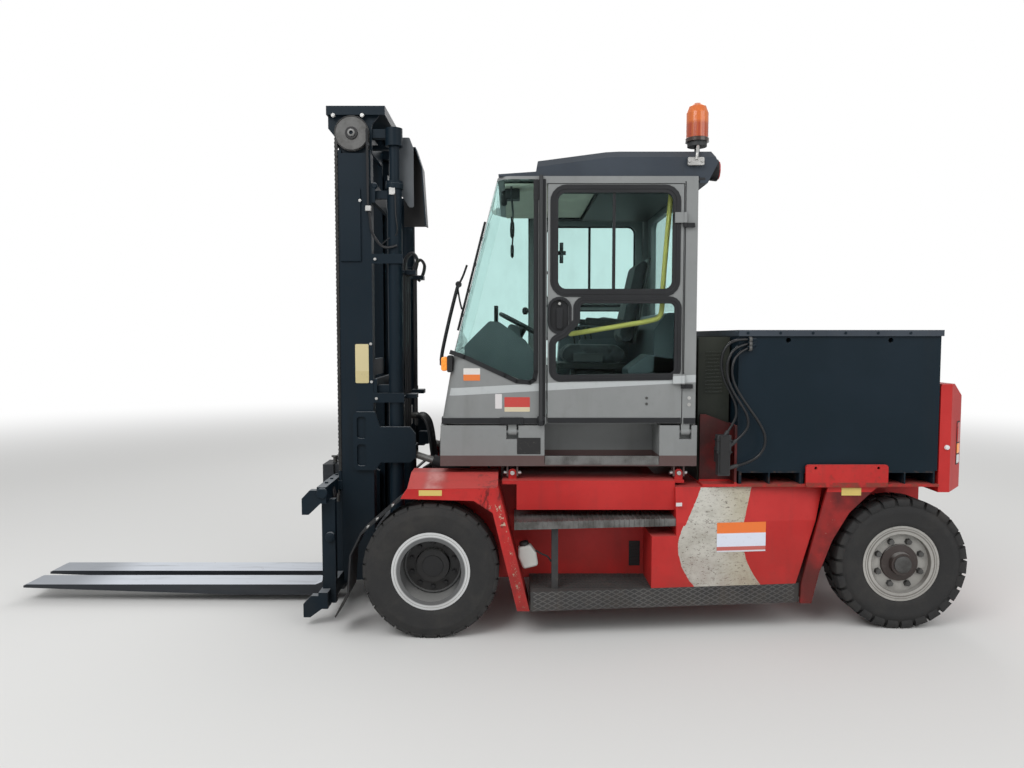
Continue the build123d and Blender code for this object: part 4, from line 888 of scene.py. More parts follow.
def chainLinks(station, low, high):  # leaf chain on both sides of the mast: waisted plates with pins
    shape = Shape()
    half, pitch, reach = chainLook["plate"] / 2, chainLook["pitch"], chainLook["width"] / 2
    for shift, depths in ((0, ((-reach, -reach + 4), (-2, 2), (reach - 4, reach))),
                          (pitch, ((-reach + 4.5, -2.5), (2.5, reach - 4.5)))):
        z = low + shift
        plate = [(1, z), (0.72, z + pitch / 2), (1, z + pitch), (0.5, z + pitch + half),
                 (-0.5, z + pitch + half), (-1, z + pitch), (-0.72, z + pitch / 2), (-1, z),
                 (-0.5, z - half), (0.5, z - half)]
        outline = [(station + share * half, height) for share, height in plate]
        for side in (-1, 1):
            middle = side * chainLook["side"]
            for start, end in depths:
                shape.slab(outline, "xz", middle + start, middle + end)
            shape.tube([(station, middle - reach - 2, z), (station, middle + reach + 2, z)], 4.5, 8)
    count = int((high - low) / (2 * pitch))
    return rows(shape, count, (0, 0, 2 * pitch), "greasyChain")


def makeChains():
    low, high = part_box("lift_chains")
    front = (low.x - frontAxle) * 1000 + chainLook["inset"]
    shape = Shape().take(chainLinks(front, low.z * 1000 + chainLook["foot"], high.z * 1000))
    run = shape.piece("lift_chain_links", "mast_inner", "greasyChain", replaced=("lift_chains",))
    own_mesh(run)
    low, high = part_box("anchor_chains")
    rear = (high.x - frontAxle) * 1000 - chainLook["inset"]
    shape = Shape().take(chainLinks(rear, low.z * 1000 + chainLook["foot"], high.z * 1000))
    run = shape.piece("anchor_chain_links", None, "greasyChain", replaced=("anchor_chains",))
    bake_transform(run)
    print("chains made")


sheaveLook = {"station": -530.0, "height": 3028.0,
              "sleeve": ((12, 0), (24, 0), (24, 13), (20, 15), (12, 15)),
              "hub": ((22, 0), (40, 0), (38, 8), (22, 8)), "pin": ((0, 0), (13, 0), (13, 4), (0, 4)),
              "rim": ((101, 376), (107, 376), (106, 379.5), (102, 379.5))}


def makeMastTrim():
    rail = truck["railSide"]
    centre = (sheaveLook["station"], 0, sheaveLook["height"])
    sleeve = Shape()
    hub = Shape()
    for side in (-1, 1):
        for shape, kind in ((hub, "hub"), (sleeve, "sleeve"), (hub, "pin")):
            shape.lathe(facing(sheaveLook[kind], side, rail + 1), centre)
        hub.lathe(facing(sheaveLook["rim"], side), centre, "y", 64)
    sleeve.piece("sheave_sleeves", "mast_inner", "stepSteel", bevel=1.0)
    hub.piece("sheave_hubs", "mast_inner", "darkPlastic", bevel=1.0)
    places = [((x, side * (rail + 1), 3136), (0, side, 0)) for x in (-643, -462) for side in (-1, 1)]
    bolts("mast_head_bolts", "mast_inner", "brightSteel", places, 10, 8, 13)
    # station, height and how far out on the rail
    studs = ((-480, 2610, 13), (-424, 1713, 1), (-421, 1472, 1), (-390, 1366, 10), (-390, 2246, 10))
    places = [((x, side * (rail + out), z), (0, side, 0)) for x, z, out in studs for side in (-1, 1)]
    bolts("mast_bolts", "mast", "brightSteel", places, 6, 6, 9)
    sticker("mast_sticker", "mast", "mastLabel", -523, -438, 1464, 1712, rail, 8, 1.6)
    strips = Shape()
    hood = Shape()
    shade = Shape()
    for side in (-1, 1):  # a wear strip down each rail's front, and the hose hood's cheeks in a painted sky sheen
        strips.box(-617, -599, side * 340, side * 373, 250, 2925)
        outline = [(-262, 2700), (-262, 3034), (-186, 3034), (-160, 2968), (-160, 2590), (-190, 2590)]
        hood.slab(rounded(outline, 12), "xz", side * 239, side * 243)
    # a dark sheet inside the hood that paints the shade of its inside
    shade.slab([(-240, 2970), (-152, 2970), (-112, 2842), (-90, 2484), (-240, 2484)], "xz", -122, -114)
    strips.piece("rail_wear_strips", "mast", "mast_paint")
    hood.piece("hose_hood_cheeks", "mast_inner", "hoodSheenGrey", bevel=1.5)
    shade.piece("hose_hood_lining", "mast_inner", "darkPlastic")
    print("mast trim made")


hoseLook = {"rod": 8.0, "thin": 4.0, "steel": 9.0, "bend": 10.0, "valve": 12.0, "tilt": 8.0}  # radii


def makeMastHoses():
    lines = Shape()
    for side in (-1, 1):  # guide rod down the rail, bending to the lift cylinder, and a thin hose behind it
        lines.tube([(-431, side * 392, 3052), (-428, side * 392, 2560)], hoseLook["rod"])
        lines.tube(curved([(-424, side * 392, 2560), (-418, side * 390, 2506), (-406, side * 384, 2413),
                           (-356, side * 377, 2336), (-303, side * 376, 2320), (-251, side * 374, 2333)]),
                   hoseLook["rod"])
        lines.tube(curved([(-262, side * 372, 2655), (-258, side * 374, 2520), (-250, side * 372, 2440),
                           (-262, side * 362, 2396), (-310, side * 352, 2376), (-352, side * 345, 2342)]),
                   hoseLook["thin"], 8)
        for shift in (0, 34, 70):  # steel lines behind each cylinder
            x, y = -222 + shift * 0.25, side * (250 - shift)
            lines.tube([(x, y, 2200), (x, y, 1130)], hoseLook["steel"])
        for shift in (0, 30):
            bend = [(-222, 240, 2190), (-216, 240, 2262), (-176, 236, 2300), (-146, 230, 2262),
                    (-158, 226, 2195), (-190, 226, 2150)]
            lines.tube(curved([(x, side * (y - shift), z) for x, y, z in bend]), hoseLook["bend"])
    lines.piece("mast_hoses", "mast", "hoseRubber")
    clamps = Shape()
    for side in (-1, 1):
        for z in (2174, 1372):
            clamps.box(-236, -150, side * 160, side * 262, z - 14, z + 14)
            clamps.box(-240, -216, side * 262, side * 320, z - 8, z + 8)
        clamps.box(-436, -420, side * 374, side * 386, 2946, 2962)
        plug = [(0, 0), (20, 0), (20, 14), (13, 22), (0, 22)]
        clamps.lathe(facing(plug, side), (-392, side * 352, 2705))
        for z in (1340, 2220, 2690):  # bands round the lift cylinder's barrel
            clamps.lathe([(48, 0), (55, 0), (55, 34), (48, 34)], (-273, side * 318, z), "z", 32)
    clamps.piece("hose_clamps", "mast", "mast_paint", bevel=2.0)
    strip = Shape()
    fitting = Shape()
    for side in (-1, 1):  # straps over the lift rods' heads, and blocks on the guide rods and hoses
        strip.box(-300, -245, side * 346, side * 352, 2996, 3060)
        fitting.box(-444, -410, side * 374, side * 404, 2544, 2576)
        fitting.box(-300, -262, side * 366, side * 372, 2650, 2694)
    strip.piece("rod_head_straps", "mast_inner", "mast_paint", bevel=2.0)
    fitting.piece("hose_fittings", "mast", "brightSteel", bevel=1.5)
    valve = Shape()
    valve.box(-330, -214, -130, 40, 1160, 1290)
    valve.box(-318, -236, -176, -130, 1180, 1270)
    for k in range(4):
        valve.lathe([(0, 0), (16, 0), (16, 42), (10, 50), (0, 50)], (-214, -104 + k * 40, 1225), "x", 20)
    valve.piece("valve_block", "mast", "greasySteel", bevel=4.0)
    flexible = Shape()
    for k in range(5):  # hoses from the valve block down to the frame
        y = -108 + k * 42
        flexible.tube(curved([(-168, y, 1225), (-132, y * 1.1, 1222), (-98, y * 1.25, 1180),
                              (-78, y * 1.3, 1100), (-66, y * 1.3, 1000), (-52, y * 1.2, 900),
                              (-40, y * 1.15, 795)]), hoseLook["valve"], 12)
    hoses = flexible.piece("valve_hoses", None, "hoseRubber")
    at(-168, 0, 1210)
    at(-40, 0, 830)
    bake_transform(hoses)
    union = Shape()
    for k in range(4):  # hoses and unions at the frame's front wall
        y, z = -330 + k * 60, 1150 + (k % 2) * 70
        union.tube(curved([(52, y, z), (34, y, z + 4), (22, y + 10, z - 30), (14, y + 20, z - 110),
                           (14, y + 30, z - 230), (20, y + 30, 860)]), hoseLook["valve"], 12)
        union.lathe([(0, 0), (20, 0), (20, 26), (0, 26)], (16, y, z), "x", 6)
    union.piece("frame_hoses", "chassis", "hoseRubber")
    tilt = Shape()
    for side in (-1, 1):  # hose pairs along the tilt cylinders
        for shift in (0, 60):
            tilt.tube(curved([(190 - shift, side * 350, 940 + shift * 0.3), (200 - shift, side * 352, 1000),
                              (250, side * 345, 1015), (300, side * 330, 960), (330, side * 320, 900)]),
                      hoseLook["tilt"])
    tilt.piece("tilt_hoses", "chassis", "hoseRubber")
    print("mast hoses made")


# studs: outline as radius and offset, and centre
carriageLook = {"studs": (([(34, 691), (34, 700), (26, 706)], (-668, 0, 820)),
                          ([(30, 612), (30, 632), (16, 640)], (-640, 0, 536))),
                "anchor": -646.0, "notches": 9, "notchPitch": 140.0, "bar": -673.0}


def makeCarriageTrim():
    shape = Shape()
    anchor = Shape()
    hoses = Shape()
    for side in (-1, 1):  # round studs, threaded chain anchors, and the hoses beside them
        for profile, centre in carriageLook["studs"]:
            line = [(0, profile[0][1])] + profile + [(0, profile[-1][1])]
            shape.lathe(facing(line, side), centre, "y", 32)
        x, y = carriageLook["anchor"], side * chainLook["side"]
        anchor.tube([(x, y, 700), (x, y, 838)], 10, 14)
        for z in (742, 800, 822):
            anchor.lathe([(0, 0), (13, 0), (13, 16), (0, 16)], (x, y, z), "z", 6)
        for k in range(2):
            run = [(-652, 470, 820), (-640, 474, 760), (-650, 480, 690), (-668 + k * 12, 486, 640),
                   (-656, 484, 590), (-664, 470, 520)]
            hoses.tube(curved([(station, side * (out + k * 34), z) for station, out, z in run]), 11, 12)
    for k in range(carriageLook["notches"]):  # notches on the upper bar that the fork pins drop into
        x, y = carriageLook["bar"], (k - carriageLook["notches"] // 2) * carriageLook["notchPitch"]
        shape.box(x - 9, x + 9, y - 8, y + 8, 856, 866)
    anchor.piece("carriage_chain_anchors", "carriage", "greasySteel")
    hoses.piece("carriage_hoses", "carriage", "hoseRubber")
    shape.piece("carriage_studs", "carriage", "mast_paint", bevel=1.5)
    for name, side in (("left", -1), ("right", 1)):
        pin = Shape()
        middle = side * 150
        pin.lathe([(0, 0), (13, 0), (13, 34), (20, 36), (20, 46), (0, 46)], (-712, middle, 918), "z", 24)
        pin.box(-735, -700, middle - 8, middle + 8, 955, 966)
        pin.piece(f"{name}_fork_pin", f"{name}_fork", "greasySteel", bevel=1.0)
    print("carriage trim made")


makeChains()
makeMastTrim()
makeMastHoses()
makeCarriageTrim()


# Cab

upperLight = [(734, 2030), (1419, 2030), (1419, 2603), (734, 2603)]
lowerLight = [(722, 1524), (1436, 1536), (1436, 1962), (864, 1962), (864, 1845), (790, 1768),
              (722, 1730)]
handleHole = [(698, 1790), (806, 1790), (806, 1976), (698, 1976)]
gasketLook = {"proud": 5.0, "overlap": 9.0, "lights": ((upperLight, 55, 38.0), (lowerLight, 36, 32.0))}


def makeDoorTrim():
    face = truck["cabSide"]
    for name, side in (("left", -1), ("right", 1)):
        body = f"{name}_door"
        gasket = Shape()
        low, high = side * (face - 13), side * (face + gasketLook["proud"])
        for light, radius, wide in gasketLook["lights"]:
            gasket.frame(light, radius, wide, gasketLook["overlap"], "xz", side * (face + 0.3), high)
            gasket.frame(light, radius, 0.0, gasketLook["overlap"], "xz", low, side * (face + 1))
            gasket.frame(light, radius, wide * 0.62, -wide * 0.3, "xz", high - side, high + side * 3)
        gasket.frame(handleHole, 50, 16, 0.0, "xz", side * (face + 0.3), side * (face + 6))
        gasket.piece(f"{name}_door_gaskets", body, "gasket", bevel=1.2)
        bars = Shape()
        bars.box(1060, 1078, side * (face - 22), side * (face - 5), 2024, 2609)
        for z in (2028, 2592):
            bars.box(742, 1412, side * (face - 24), side * (face - 19), z, z + 12)
        bars.piece(f"{name}_door_slider", body, "gasket", bevel=1.5)
        inner = Shape()  # latch on the sliding pane, door frame and lock rod inside
        inner.box(752, 774, side * (face - 32), side * (face - 20), 2190, 2310)
        inner.box(734, 790, side * (face - 36), side * (face - 30), 2238, 2262)
        inner.box(700, 1450, side * (face - 52), side * (face - 41), 1986, 2006)
        inner.box(840, 1010, side * (face - 66), side * (face - 41), 1610, 1660)
        inner.piece(f"{name}_door_inside", body, "darkPlastic", bevel=3.0)
        handle = Shape()
        handle.slab(rounded(spread(handleHole, -1.5), 46), "xz", side * (face - 23), side * (face - 20))
        handle.slab(rounded([(734, 1806), (770, 1806), (772, 1930), (732, 1930)], 12), "xz",
                    side * (face - 21), side * (face - 5))
        handle.lathe(facing([(0, -21), (13, -21), (13, -9), (0, -9)], side, face), (752, 0, 1952), "y", 28)
        handle.piece(f"{name}_door_handle", body, "gasket", bevel=2.5)
        lock = facing([(0, -9.5), (8, -9.5), (8, -7), (0, -7)], side, face)
        shape = Shape().lathe(lock, (752, 0, 1953), "y", 24)
        shape.piece(f"{name}_door_lock", body, "brightSteel")
        places = [((1268, side * (face + 0.5), z), (0, side, 0)) for z in (1397, 1362)]
        bolts(f"{name}_door_bolts", body, "greasySteel", places, 6, 4, 8)
        seam = Shape()
        seam.box(684, 1472, side * (face + 0.3), side * (face + 4), 1249, 1280)
        seam.piece(f"{name}_door_foot_strip", body, "gasket", bevel=1.0)
    print("door trim made")


def makeCabTrim():
    face = truck["cabSide"]
    band = [(112, 1668), (192, 1640), (431, 1530), (500, 1497), (578, 1489), (604, 1506), (612, 1552),
            (612, 2664)]
    # strips along the wall: stations, heights and how far they stand out
    strips = ((56, 668, 1244, 1279, 4), (1486, 1556, 1244, 1279, 4), (650, 670, 1281, 2672, 5),
              (598, 644, 2552, 2668, 9), (1481, 1487, 1500, 2660, 3), (400, 540, 1240, 1282, 12))
    shape = Shape()
    for side in (-1, 1):
        inner = side * (face + 0.3)
        for start, end in zip(band, band[1:]):  # gasket under and behind the quarter light
            a, b = Vector(start), Vector(end)
            over = Vector((-(b - a).y, (b - a).x)).normalized() * 13
            along = (b - a).normalized() * 6
            corners = [a - over - along, b - over + along, b + over + along, a + over - along]
            shape.slab([tuple(c) for c in corners], "xz", inner, side * (face + 6))
        for x0, x1, z0, z1, proud in strips:
            shape.box(x0, x1, inner, side * (face + proud), z0, z1)
    shape.piece("cab_gaskets", "cab", "gasket", bevel=1.5)
    foot = Shape()
    for side in (-1, 1):
        foot.tube([(642, side * (face + 18), 1236), (642, side * (face + 18), 1262)], 19, 14)
        foot.box(622, 664, side * (face + 1), side * (face + 26), 1262, 1290)
    foot.piece("grab_bar_feet", "cab", "gasket", bevel=3.0)
    pins = Shape()
    for x in (475, 1500):
        plate = rounded([(x - 24, 1178), (x + 24, 1178), (x + 24, 1222), (x - 24, 1222)], 12)
        pins.slab(plate, "xz", -724, -716)
        pins.box(x - 16, x + 16, -718, -700, 1190, 1241)
    pins.piece("tilt_pin_plates", "cab", "stepSteel", bevel=2.0)
    places = [((1519, side * (face + 0.5), z), (0, side, 0)) for z in (1397, 1358) for side in (-1, 1)]
    bolts("cab_post_bolts", "cab", "brightSteel", places, 7, 5, 11)
    print("cab trim made")


def makeScreenFittings():
    shape = Shape()
    y = -150

    def screen(z):  # station of the leaning windscreen at a height
        return 124 + (z - 1662) * (394 - 124) / (2720 - 1662)

    shape.tube(curved([(2, y, 1602), (14, y, 1680), (52, y, 1850), (92, y, 2010), (116, y, 2098)]), 12, 12)
    shape.lathe([(0, -16), (20, -16), (20, 16), (0, 16)], (120, y, 2104), "y", 20)
    shape.tube(curved([(120, y, 2100), (150, y - 4, 2160), (176, y - 8, 2230)]), 7)
    shape.tube(curved([(112, y + 14, 2084), (126, y + 6, 2000), (140, y, 1940)]), 6)
    for low, high, inset, radius in ((1800, 2510, 44, 8), (1810, 2500, 24, 5)):
        shape.tube([(screen(z) - inset, y - 12, z) for z in (low, high)], radius, 8)
    for z in (1900, 2060, 2230, 2400):
        shape.box(screen(z) - 50, screen(z) - 24, y - 20, y - 4, z - 12, z + 12)
    shape.box(-6, 60, y - 26, y + 26, 1570, 1614)
    shape.piece("wipers", "cab", "gasket")
    lamp = Shape()
    socket = Shape()
    lampLine = rounded([(52, 1556), (92, 1556), (92, 1640), (52, 1640)], 14)
    socketLine = rounded([(88, 1548), (120, 1548), (120, 1648), (88, 1648)], 10)
    for side in (-1, 1):
        lamp.slab(lampLine, "xz", side * 640, side * 712)
        socket.slab(socketLine, "xz", side * 634, side * 718)
    lamp.piece("front_indicators", "cab", "orangeLens", bevel=6.0)
    socket.piece("front_indicator_bases", "cab", "darkPlastic", bevel=3.0)
    mirrors = Shape()
    for y in (-600, 560):
        mirrors.lathe([(0, 0), (38, 2), (52, 10), (54, 18), (40, 26), (0, 28)], (460, y, 2400), "x", 32)
        mirrors.tube(curved([(474, y, 2440), (478, y, 2500), (470, y, 2600), (468, y, 2680)]), 6)
    mirrors.piece("inside_mirrors", "cab", "darkPlastic")
    fan = Shape()
    fan.box(430, 520, -560, -470, 2590, 2650)
    fan.lathe([(0, -20), (40, -18), (48, 0), (40, 18), (0, 22)], (424, -516, 2600), "x", 32)
    fan.piece("cab_fan", "cab", "darkPlastic", bevel=4.0)
    liner = Shape()
    liner.box(430, 990, -640, 640, 2654, 2668)
    liner.piece("headliner", "cab", "headliner", bevel=4.0)
    visor = Shape()
    visor.box(1000, 1500, -640, 640, 2630, 2660)
    for side in (-1, 1):
        visor.box(700, 1500, side * 600, side * 690, 2640, 2686)
    visor.piece("headliner_panels", "cab", "darkPlastic", bevel=5.0)
    print("windscreen fittings made")


# cabinets in the cab: outline, corner radius, and from where to where across
cabinets = (
    ([(900, 1290), (1330, 1290), (1330, 1560), (1240, 1690), (940, 1690), (900, 1640)], 30, 300, 420),
    ([(960, 1660), (1290, 1700), (1290, 1745), (960, 1740)], 16, 290, 400),
    ([(1180, 1290), (1500, 1290), (1500, 1620), (1300, 1650), (1180, 1560)], 24, -560, -330),
    ([(1330, 1290), (1536, 1290), (1536, 1905), (1420, 1905), (1340, 1800)], 24, -560, 600),
    ([(800, 1290), (1340, 1290), (1340, 1880), (1150, 1905), (830, 1800)], 30, 480, 640))
cowlLine = [(176, 1480), (630, 1440), (622, 1640), (560, 1735), (478, 1792), (392, 1852), (328, 1858),
            (168, 1700)]
cowlPost = [(470, 1500), (560, 1560), (520, 1830), (450, 1850), (420, 1700)]


def makeInterior():
    rail = Shape()
    rail.tube(curved([(822, -645, 1775), (900, -648, 1787), (1100, -650, 1820), (1300, -650, 1855),
                      (1352, -650, 1878), (1368, -650, 1930), (1372, -650, 2050), (1392, -650, 2330),
                      (1414, -650, 2600), (1418, -650, 2680)], 8), 15, 14)
    rail.tube([(822, -645, 1775), (822, -688, 1775)], 13)
    rail.piece("yellow_hand_rail", "cab", "railYellow")
    box = Shape()
    for line, radius, low, high in cabinets:
        box.slab(rounded(line, radius), "xz", low, high)
    box.piece("side_console", "cab", "cabinPlastic", bevel=4.0)
    cowl = Shape()
    cowl.slab(rounded(cowlLine, 30), "xz", -360, 360)
    cowl.slab(rounded(cowlPost, 26), "xz", -70, 70)
    cowl.piece("dash_cowl", "cab", "dashPlastic", bevel=14.0)
    levers = Shape()
    for k in range(4):
        x, y = 930 + k * 42, 345
        levers.tube(curved([(x, y, 1700), (x - 8, y, 1760), (x - 22, y, 1810)]), 6)
        levers.lathe([(0, 0), (14, 4), (19, 18), (15, 34), (0, 40)], (x - 24, y, 1800), "z", 20)
    levers.piece("levers", "cab", "darkPlastic")
    panel = Shape()
    panel.tube(curved([(330, 260, 1640), (335, 300, 1760), (350, 330, 1860)]), 12)
    panel.slab(rounded([(240, 1850), (420, 1850), (420, 1980), (240, 1980)], 12), "yz", 345, 372)
    panel.piece("display_panel", "cab", "darkPlastic", bevel=3.0)
    knob = Shape()
    knob.lathe([(0, 0), (12, 0), (20, 14), (20, 34), (12, 46), (0, 48)], (560, -165, 1905), "z", 24)
    knob.piece("wheel_knob", "steering_wheel", "darkPlastic")
    pedals = Shape()
    for y in (-90, 20, 120):
        pedals.box(420, 440, y - 32, y + 32, 1330, 1440)
    pedals.turned((430, 0, 1385), "Y", 35)
    pedals.piece("pedals", "cab", "greasySteel", bevel=4.0)
    print("cab inside made")


seatLook = {"pressure": 4.0, "voxel": 0.006, "quickVoxel": 0.012, "frames": 20, "cap": 0.022, "fill": 0.8}


def pad(name, corners):  # a cushion blown up from a slightly smaller block
    shape = Shape()
    shape.skin(corners)
    obj = shape.plain(name)
    remesh = obj.modifiers.new("voxels", "REMESH")
    remesh.mode = "VOXEL"
    remesh.voxel_size = seatLook["voxel"]
    deps = bpy.context.evaluated_depsgraph_get()
    mesh = bpy.data.meshes.new_from_object(obj.evaluated_get(deps))
    obj.modifiers.clear()
    old, obj.data = obj.data, mesh
    bpy.data.meshes.remove(old)
    rest = [v.co.copy() for v in mesh.vertices]
    cloth = obj.modifiers.new("cloth", "CLOTH")
    cloth.settings.use_pressure = True
    cloth.settings.uniform_pressure_force = seatLook["pressure"]
    cloth.settings.effector_weights.gravity = 0.0
    cloth.point_cache.frame_end = seatLook["frames"]
    for number in range(1, seatLook["frames"] + 1):
        bpy.context.scene.frame_set(number)
    deps = bpy.context.evaluated_depsgraph_get()
    blown = bpy.data.meshes.new_from_object(obj.evaluated_get(deps))
    obj.modifiers.clear()
    for vertex, start, moved in zip(mesh.vertices, rest, blown.vertices):
        shift = moved.co - start
        vertex.co = start + shift * min(1.0, seatLook["cap"] / max(shift.length, 1e-6))
    bpy.data.meshes.remove(blown)
    bpy.context.scene.frame_set(1)
    smooth = obj.modifiers.new("round", "SUBSURF")
    smooth.levels = 1
    smooth.render_levels = 1
    mesh.shade_smooth()
    mesh.materials.append(finishes["seat_fabric"])
    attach(obj, "cab")
    return obj


def makeSeat():
    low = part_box("seat")[0]
    front = (low.x - frontAxle) * 1000
    foot = low.z * 1000

    def line(corners, radius):  # rounded outline, from the seat's front and foot
        return rounded([(front + x, foot + z) for x, z in corners], radius)

    def block(outline, half):  # side outline carried across in slices
        return [[at(x, y, z) for x, z in outline] for y in (-half, -half * 0.5, 0, half * 0.5, half)]

    base = line([(30, 320), (470, 312), (470, 396), (60, 404)], 30)
    seatPad = pad("seat_cushion", block(base, 215))
    lean = rounded([(1194, foot + 430), (1244, foot + 430), (1362, foot + 975), (1318, foot + 975)], 20)
    backPad = pad("seat_back", block(lean, 200))
    shell = Shape()
    shell.slab(line([(100, 2), (440, 2), (440, 40), (100, 40)], 8), "xz", -190, 190)
    for k in range(6):  # folded bellows round the suspension
        z = 42 + k * 36
        fold = [(130, z), (410, z), (396, z + 18), (410, z + 34), (130, z + 34), (144, z + 18)]
        shell.slab(line(fold, 5), "xz", -165, 165)
    shell.slab(line([(20, 262), (480, 262), (480, 302), (20, 302)], 12), "xz", -235, 235)
    back = [(1262, foot + 430), (1282, foot + 430), (1378, foot + 985), (1362, foot + 985)]
    shell.slab(rounded(back, 6), "xz", -222, 222)
    arm = line([(200, 560), (470, 545), (470, 580), (200, 600)], 14)
    for side in (-1, 1):
        shell.slab(arm, "xz", side * 226, side * 262)
    frameShell = shell.piece("seat_frame", "cab", "darkPlastic", bevel=4.0, replaced=("seat",))
    points = len(seatPad.data.vertices) + len(backPad.data.vertices)
    print("seat made,", points, "points, on", frameShell.name)


def makeCabStickers():
    face = truck["cabSide"]
    sticker("cab_sticker_orange", "cab", "orangeLabel", 186, 284, 1500, 1573, face, 4)
    sticker("cab_sticker_small", "cab", "whiteLabel", 373, 413, 1334, 1421, face, 4)
    sticker("cab_sticker_red", "cab", "redLabel", 428, 578, 1316, 1402, face, 4)
    sticker("skirt_plate", "chassis", "blackLabel", 502, 642, 1063, 1161, truck["skirtSide"], 4)
    print("cab stickers made")


def makeRoofTrim():
    shape = Shape()
    lens = Shape()
    for side in (-1, 1):  # work lamps under the roof's rear edge
        y = side * 590
        shape.lathe([(0, -30), (44, -30), (60, -8), (64, 30), (58, 34), (0, 26)], (1668, y, 2752), "x", 36)
        shape.box(1626, 1662, y - 20, y + 20, 2740, 2840)
        lens.lathe([(0, 27), (56, 30), (54, 40), (0, 46)], (1668, y, 2752), "x", 36)
    shape.piece("roof_lamps", "cab", "darkPlastic", bevel=2.0)
    lens.piece("roof_lamp_lenses", "cab", "redLens")
    clamp = Shape()
    clamp.slab(rounded([(1491, 2750), (1586, 2750), (1586, 2796), (1491, 2796)], 8), "xz", -746, -722)
    clamp.tube(curved([(1538, -746, 2780), (1545, -742, 2822), (1560, -690, 2868), (1580, -600, 2884),
                       (1585, -575, 2890)]), 9)
    for x in (1500, 1574):
        clamp.tube([(x, -752, 2773), (x, -740, 2773)], 9)
    clamp.box(1552, 1620, -575, -545, 2846, 2858)
    clamp.piece("beacon_bracket", "cab", "brightSteel", bevel=2.0)
    edge = Shape()
    for side in (-1, 1):
        edge.box(660, 1600, side * 700, side * 722, 2668, 2684)
    edge.box(640, 650, -690, 690, 2700, 2712)
    edge.piece("roof_gutters", "cab", "gasket", bevel=3.0)
    print("roof trim made")


makeDoorTrim()
makeCabTrim()
makeScreenFittings()
makeInterior()
makeSeat()
makeCabStickers()
makeRoofTrim()


# Chassis

stepLook = {"front": 500.0, "rear": 1425.0, "top": 692.0, "treadPitch": 30.0, "rise": 27.5, "cell": 54.0,
            "netFrom": 596.0, "netTo": 2180.0, "netFoot": 173.0, "netRows": 4, "barHalf": 2.4,
            "studs": (24, 29), "studRows": (9, 30), "teeth": (56, 12)}  # how many, and their pitch


def makeStepTrim():
    slope = truck["narrowing"]
    for name, side in (("left", -1), ("right", 1)):
        front, top, pitch = stepLook["front"], stepLook["top"], stepLook["treadPitch"]
        wide = bodySide(front)
        rib = Shape().box(front, front + 8, side * 560, side * (wide - 20), top - 0.3, top + 5)
        rib.slab([(front, 650), (front + 5, 650), (front + 5, top + 5), (front, top + 5)], "xz",
                 side * (wide - 12.3), side * (wide - 7))
        count = int((stepLook["rear"] - front) / pitch)
        mesh = rows(rib, count, (pitch, -side * slope * pitch, 0), "stepSteel")
        Shape().take(mesh).piece(f"{name}_tread_ribs", "chassis", "stepSteel")
        cell, rise = stepLook["cell"], stepLook["rise"]
        start, foot = stepLook["netFrom"], stepLook["netFoot"]
        cross = Shape()
        for a, b in (((0, 0), (cell, rise)), ((0, rise), (cell, 0))):  # crossed bars of one cell
            along = (Vector(b) - Vector(a)).normalized()
            over = Vector((-along.y, along.x)) * stepLook["barHalf"]
            corners = [Vector(a) + over, Vector(a) - over, Vector(b) - over, Vector(b) + over]
            face = [(start + c.x, foot + c.y) for c in corners]
            cross.skin([[at(x, side * (bodySide(x) + proud), z) for x, z in face] for proud in (-0.3, 2.0)])
        count = int((stepLook["netTo"] - start) / cell)
        mesh = rows(cross, count, (cell, -side * slope * cell, 0), "boardBars", stepLook["netRows"],
                    (0, 0, rise))
        Shape().take(mesh).piece(f"{name}_board_lozenges", "chassis", "boardBars")
        stud = Shape()
        for turn, shift in ((-35, 0), (35, 14)):
            spin = Matrix.Rotation(math.radians(turn), 2)
            middle = Vector((600 + shift, side * 580))
            outline = [tuple(middle + spin @ Vector(tip)) for tip in ((-13, 0), (0, 3.5), (13, 0), (0, -3.5))]
            stud.slab(outline, "xy", 284.8, 287.4)
        (count, pitch), (rowCount, rowPitch) = stepLook["studs"], stepLook["studRows"]
        mesh = rows(stud, count, (pitch, 0, 0), "boardPaint", rowCount, (0, side * rowPitch, 0))
        Shape().take(mesh).piece(f"{name}_board_studs", "chassis", "boardPaint")
        plate = Shape()
        skirt = truck["skirtSide"]
        plate.box(668, 1343, side * (skirt - 12), side * (skirt + 3), 1000, 1052)
        plate.box(668, 1343, side * 500, side * (skirt - 2), 1014.5, 1019)
        plate.piece(f"{name}_entrance_tread", "chassis", "stepSteel", bevel=1.5)
        tooth = Shape().box(672, 680, side * (skirt + 2.8), side * (skirt + 5), 1008, 1046)
        count, pitch = stepLook["teeth"]
        mesh = rows(tooth, count, (pitch, 0, 0), "stepSteel")
        Shape().take(mesh).piece(f"{name}_entrance_teeth", "chassis", "stepSteel")
    print("steps made")


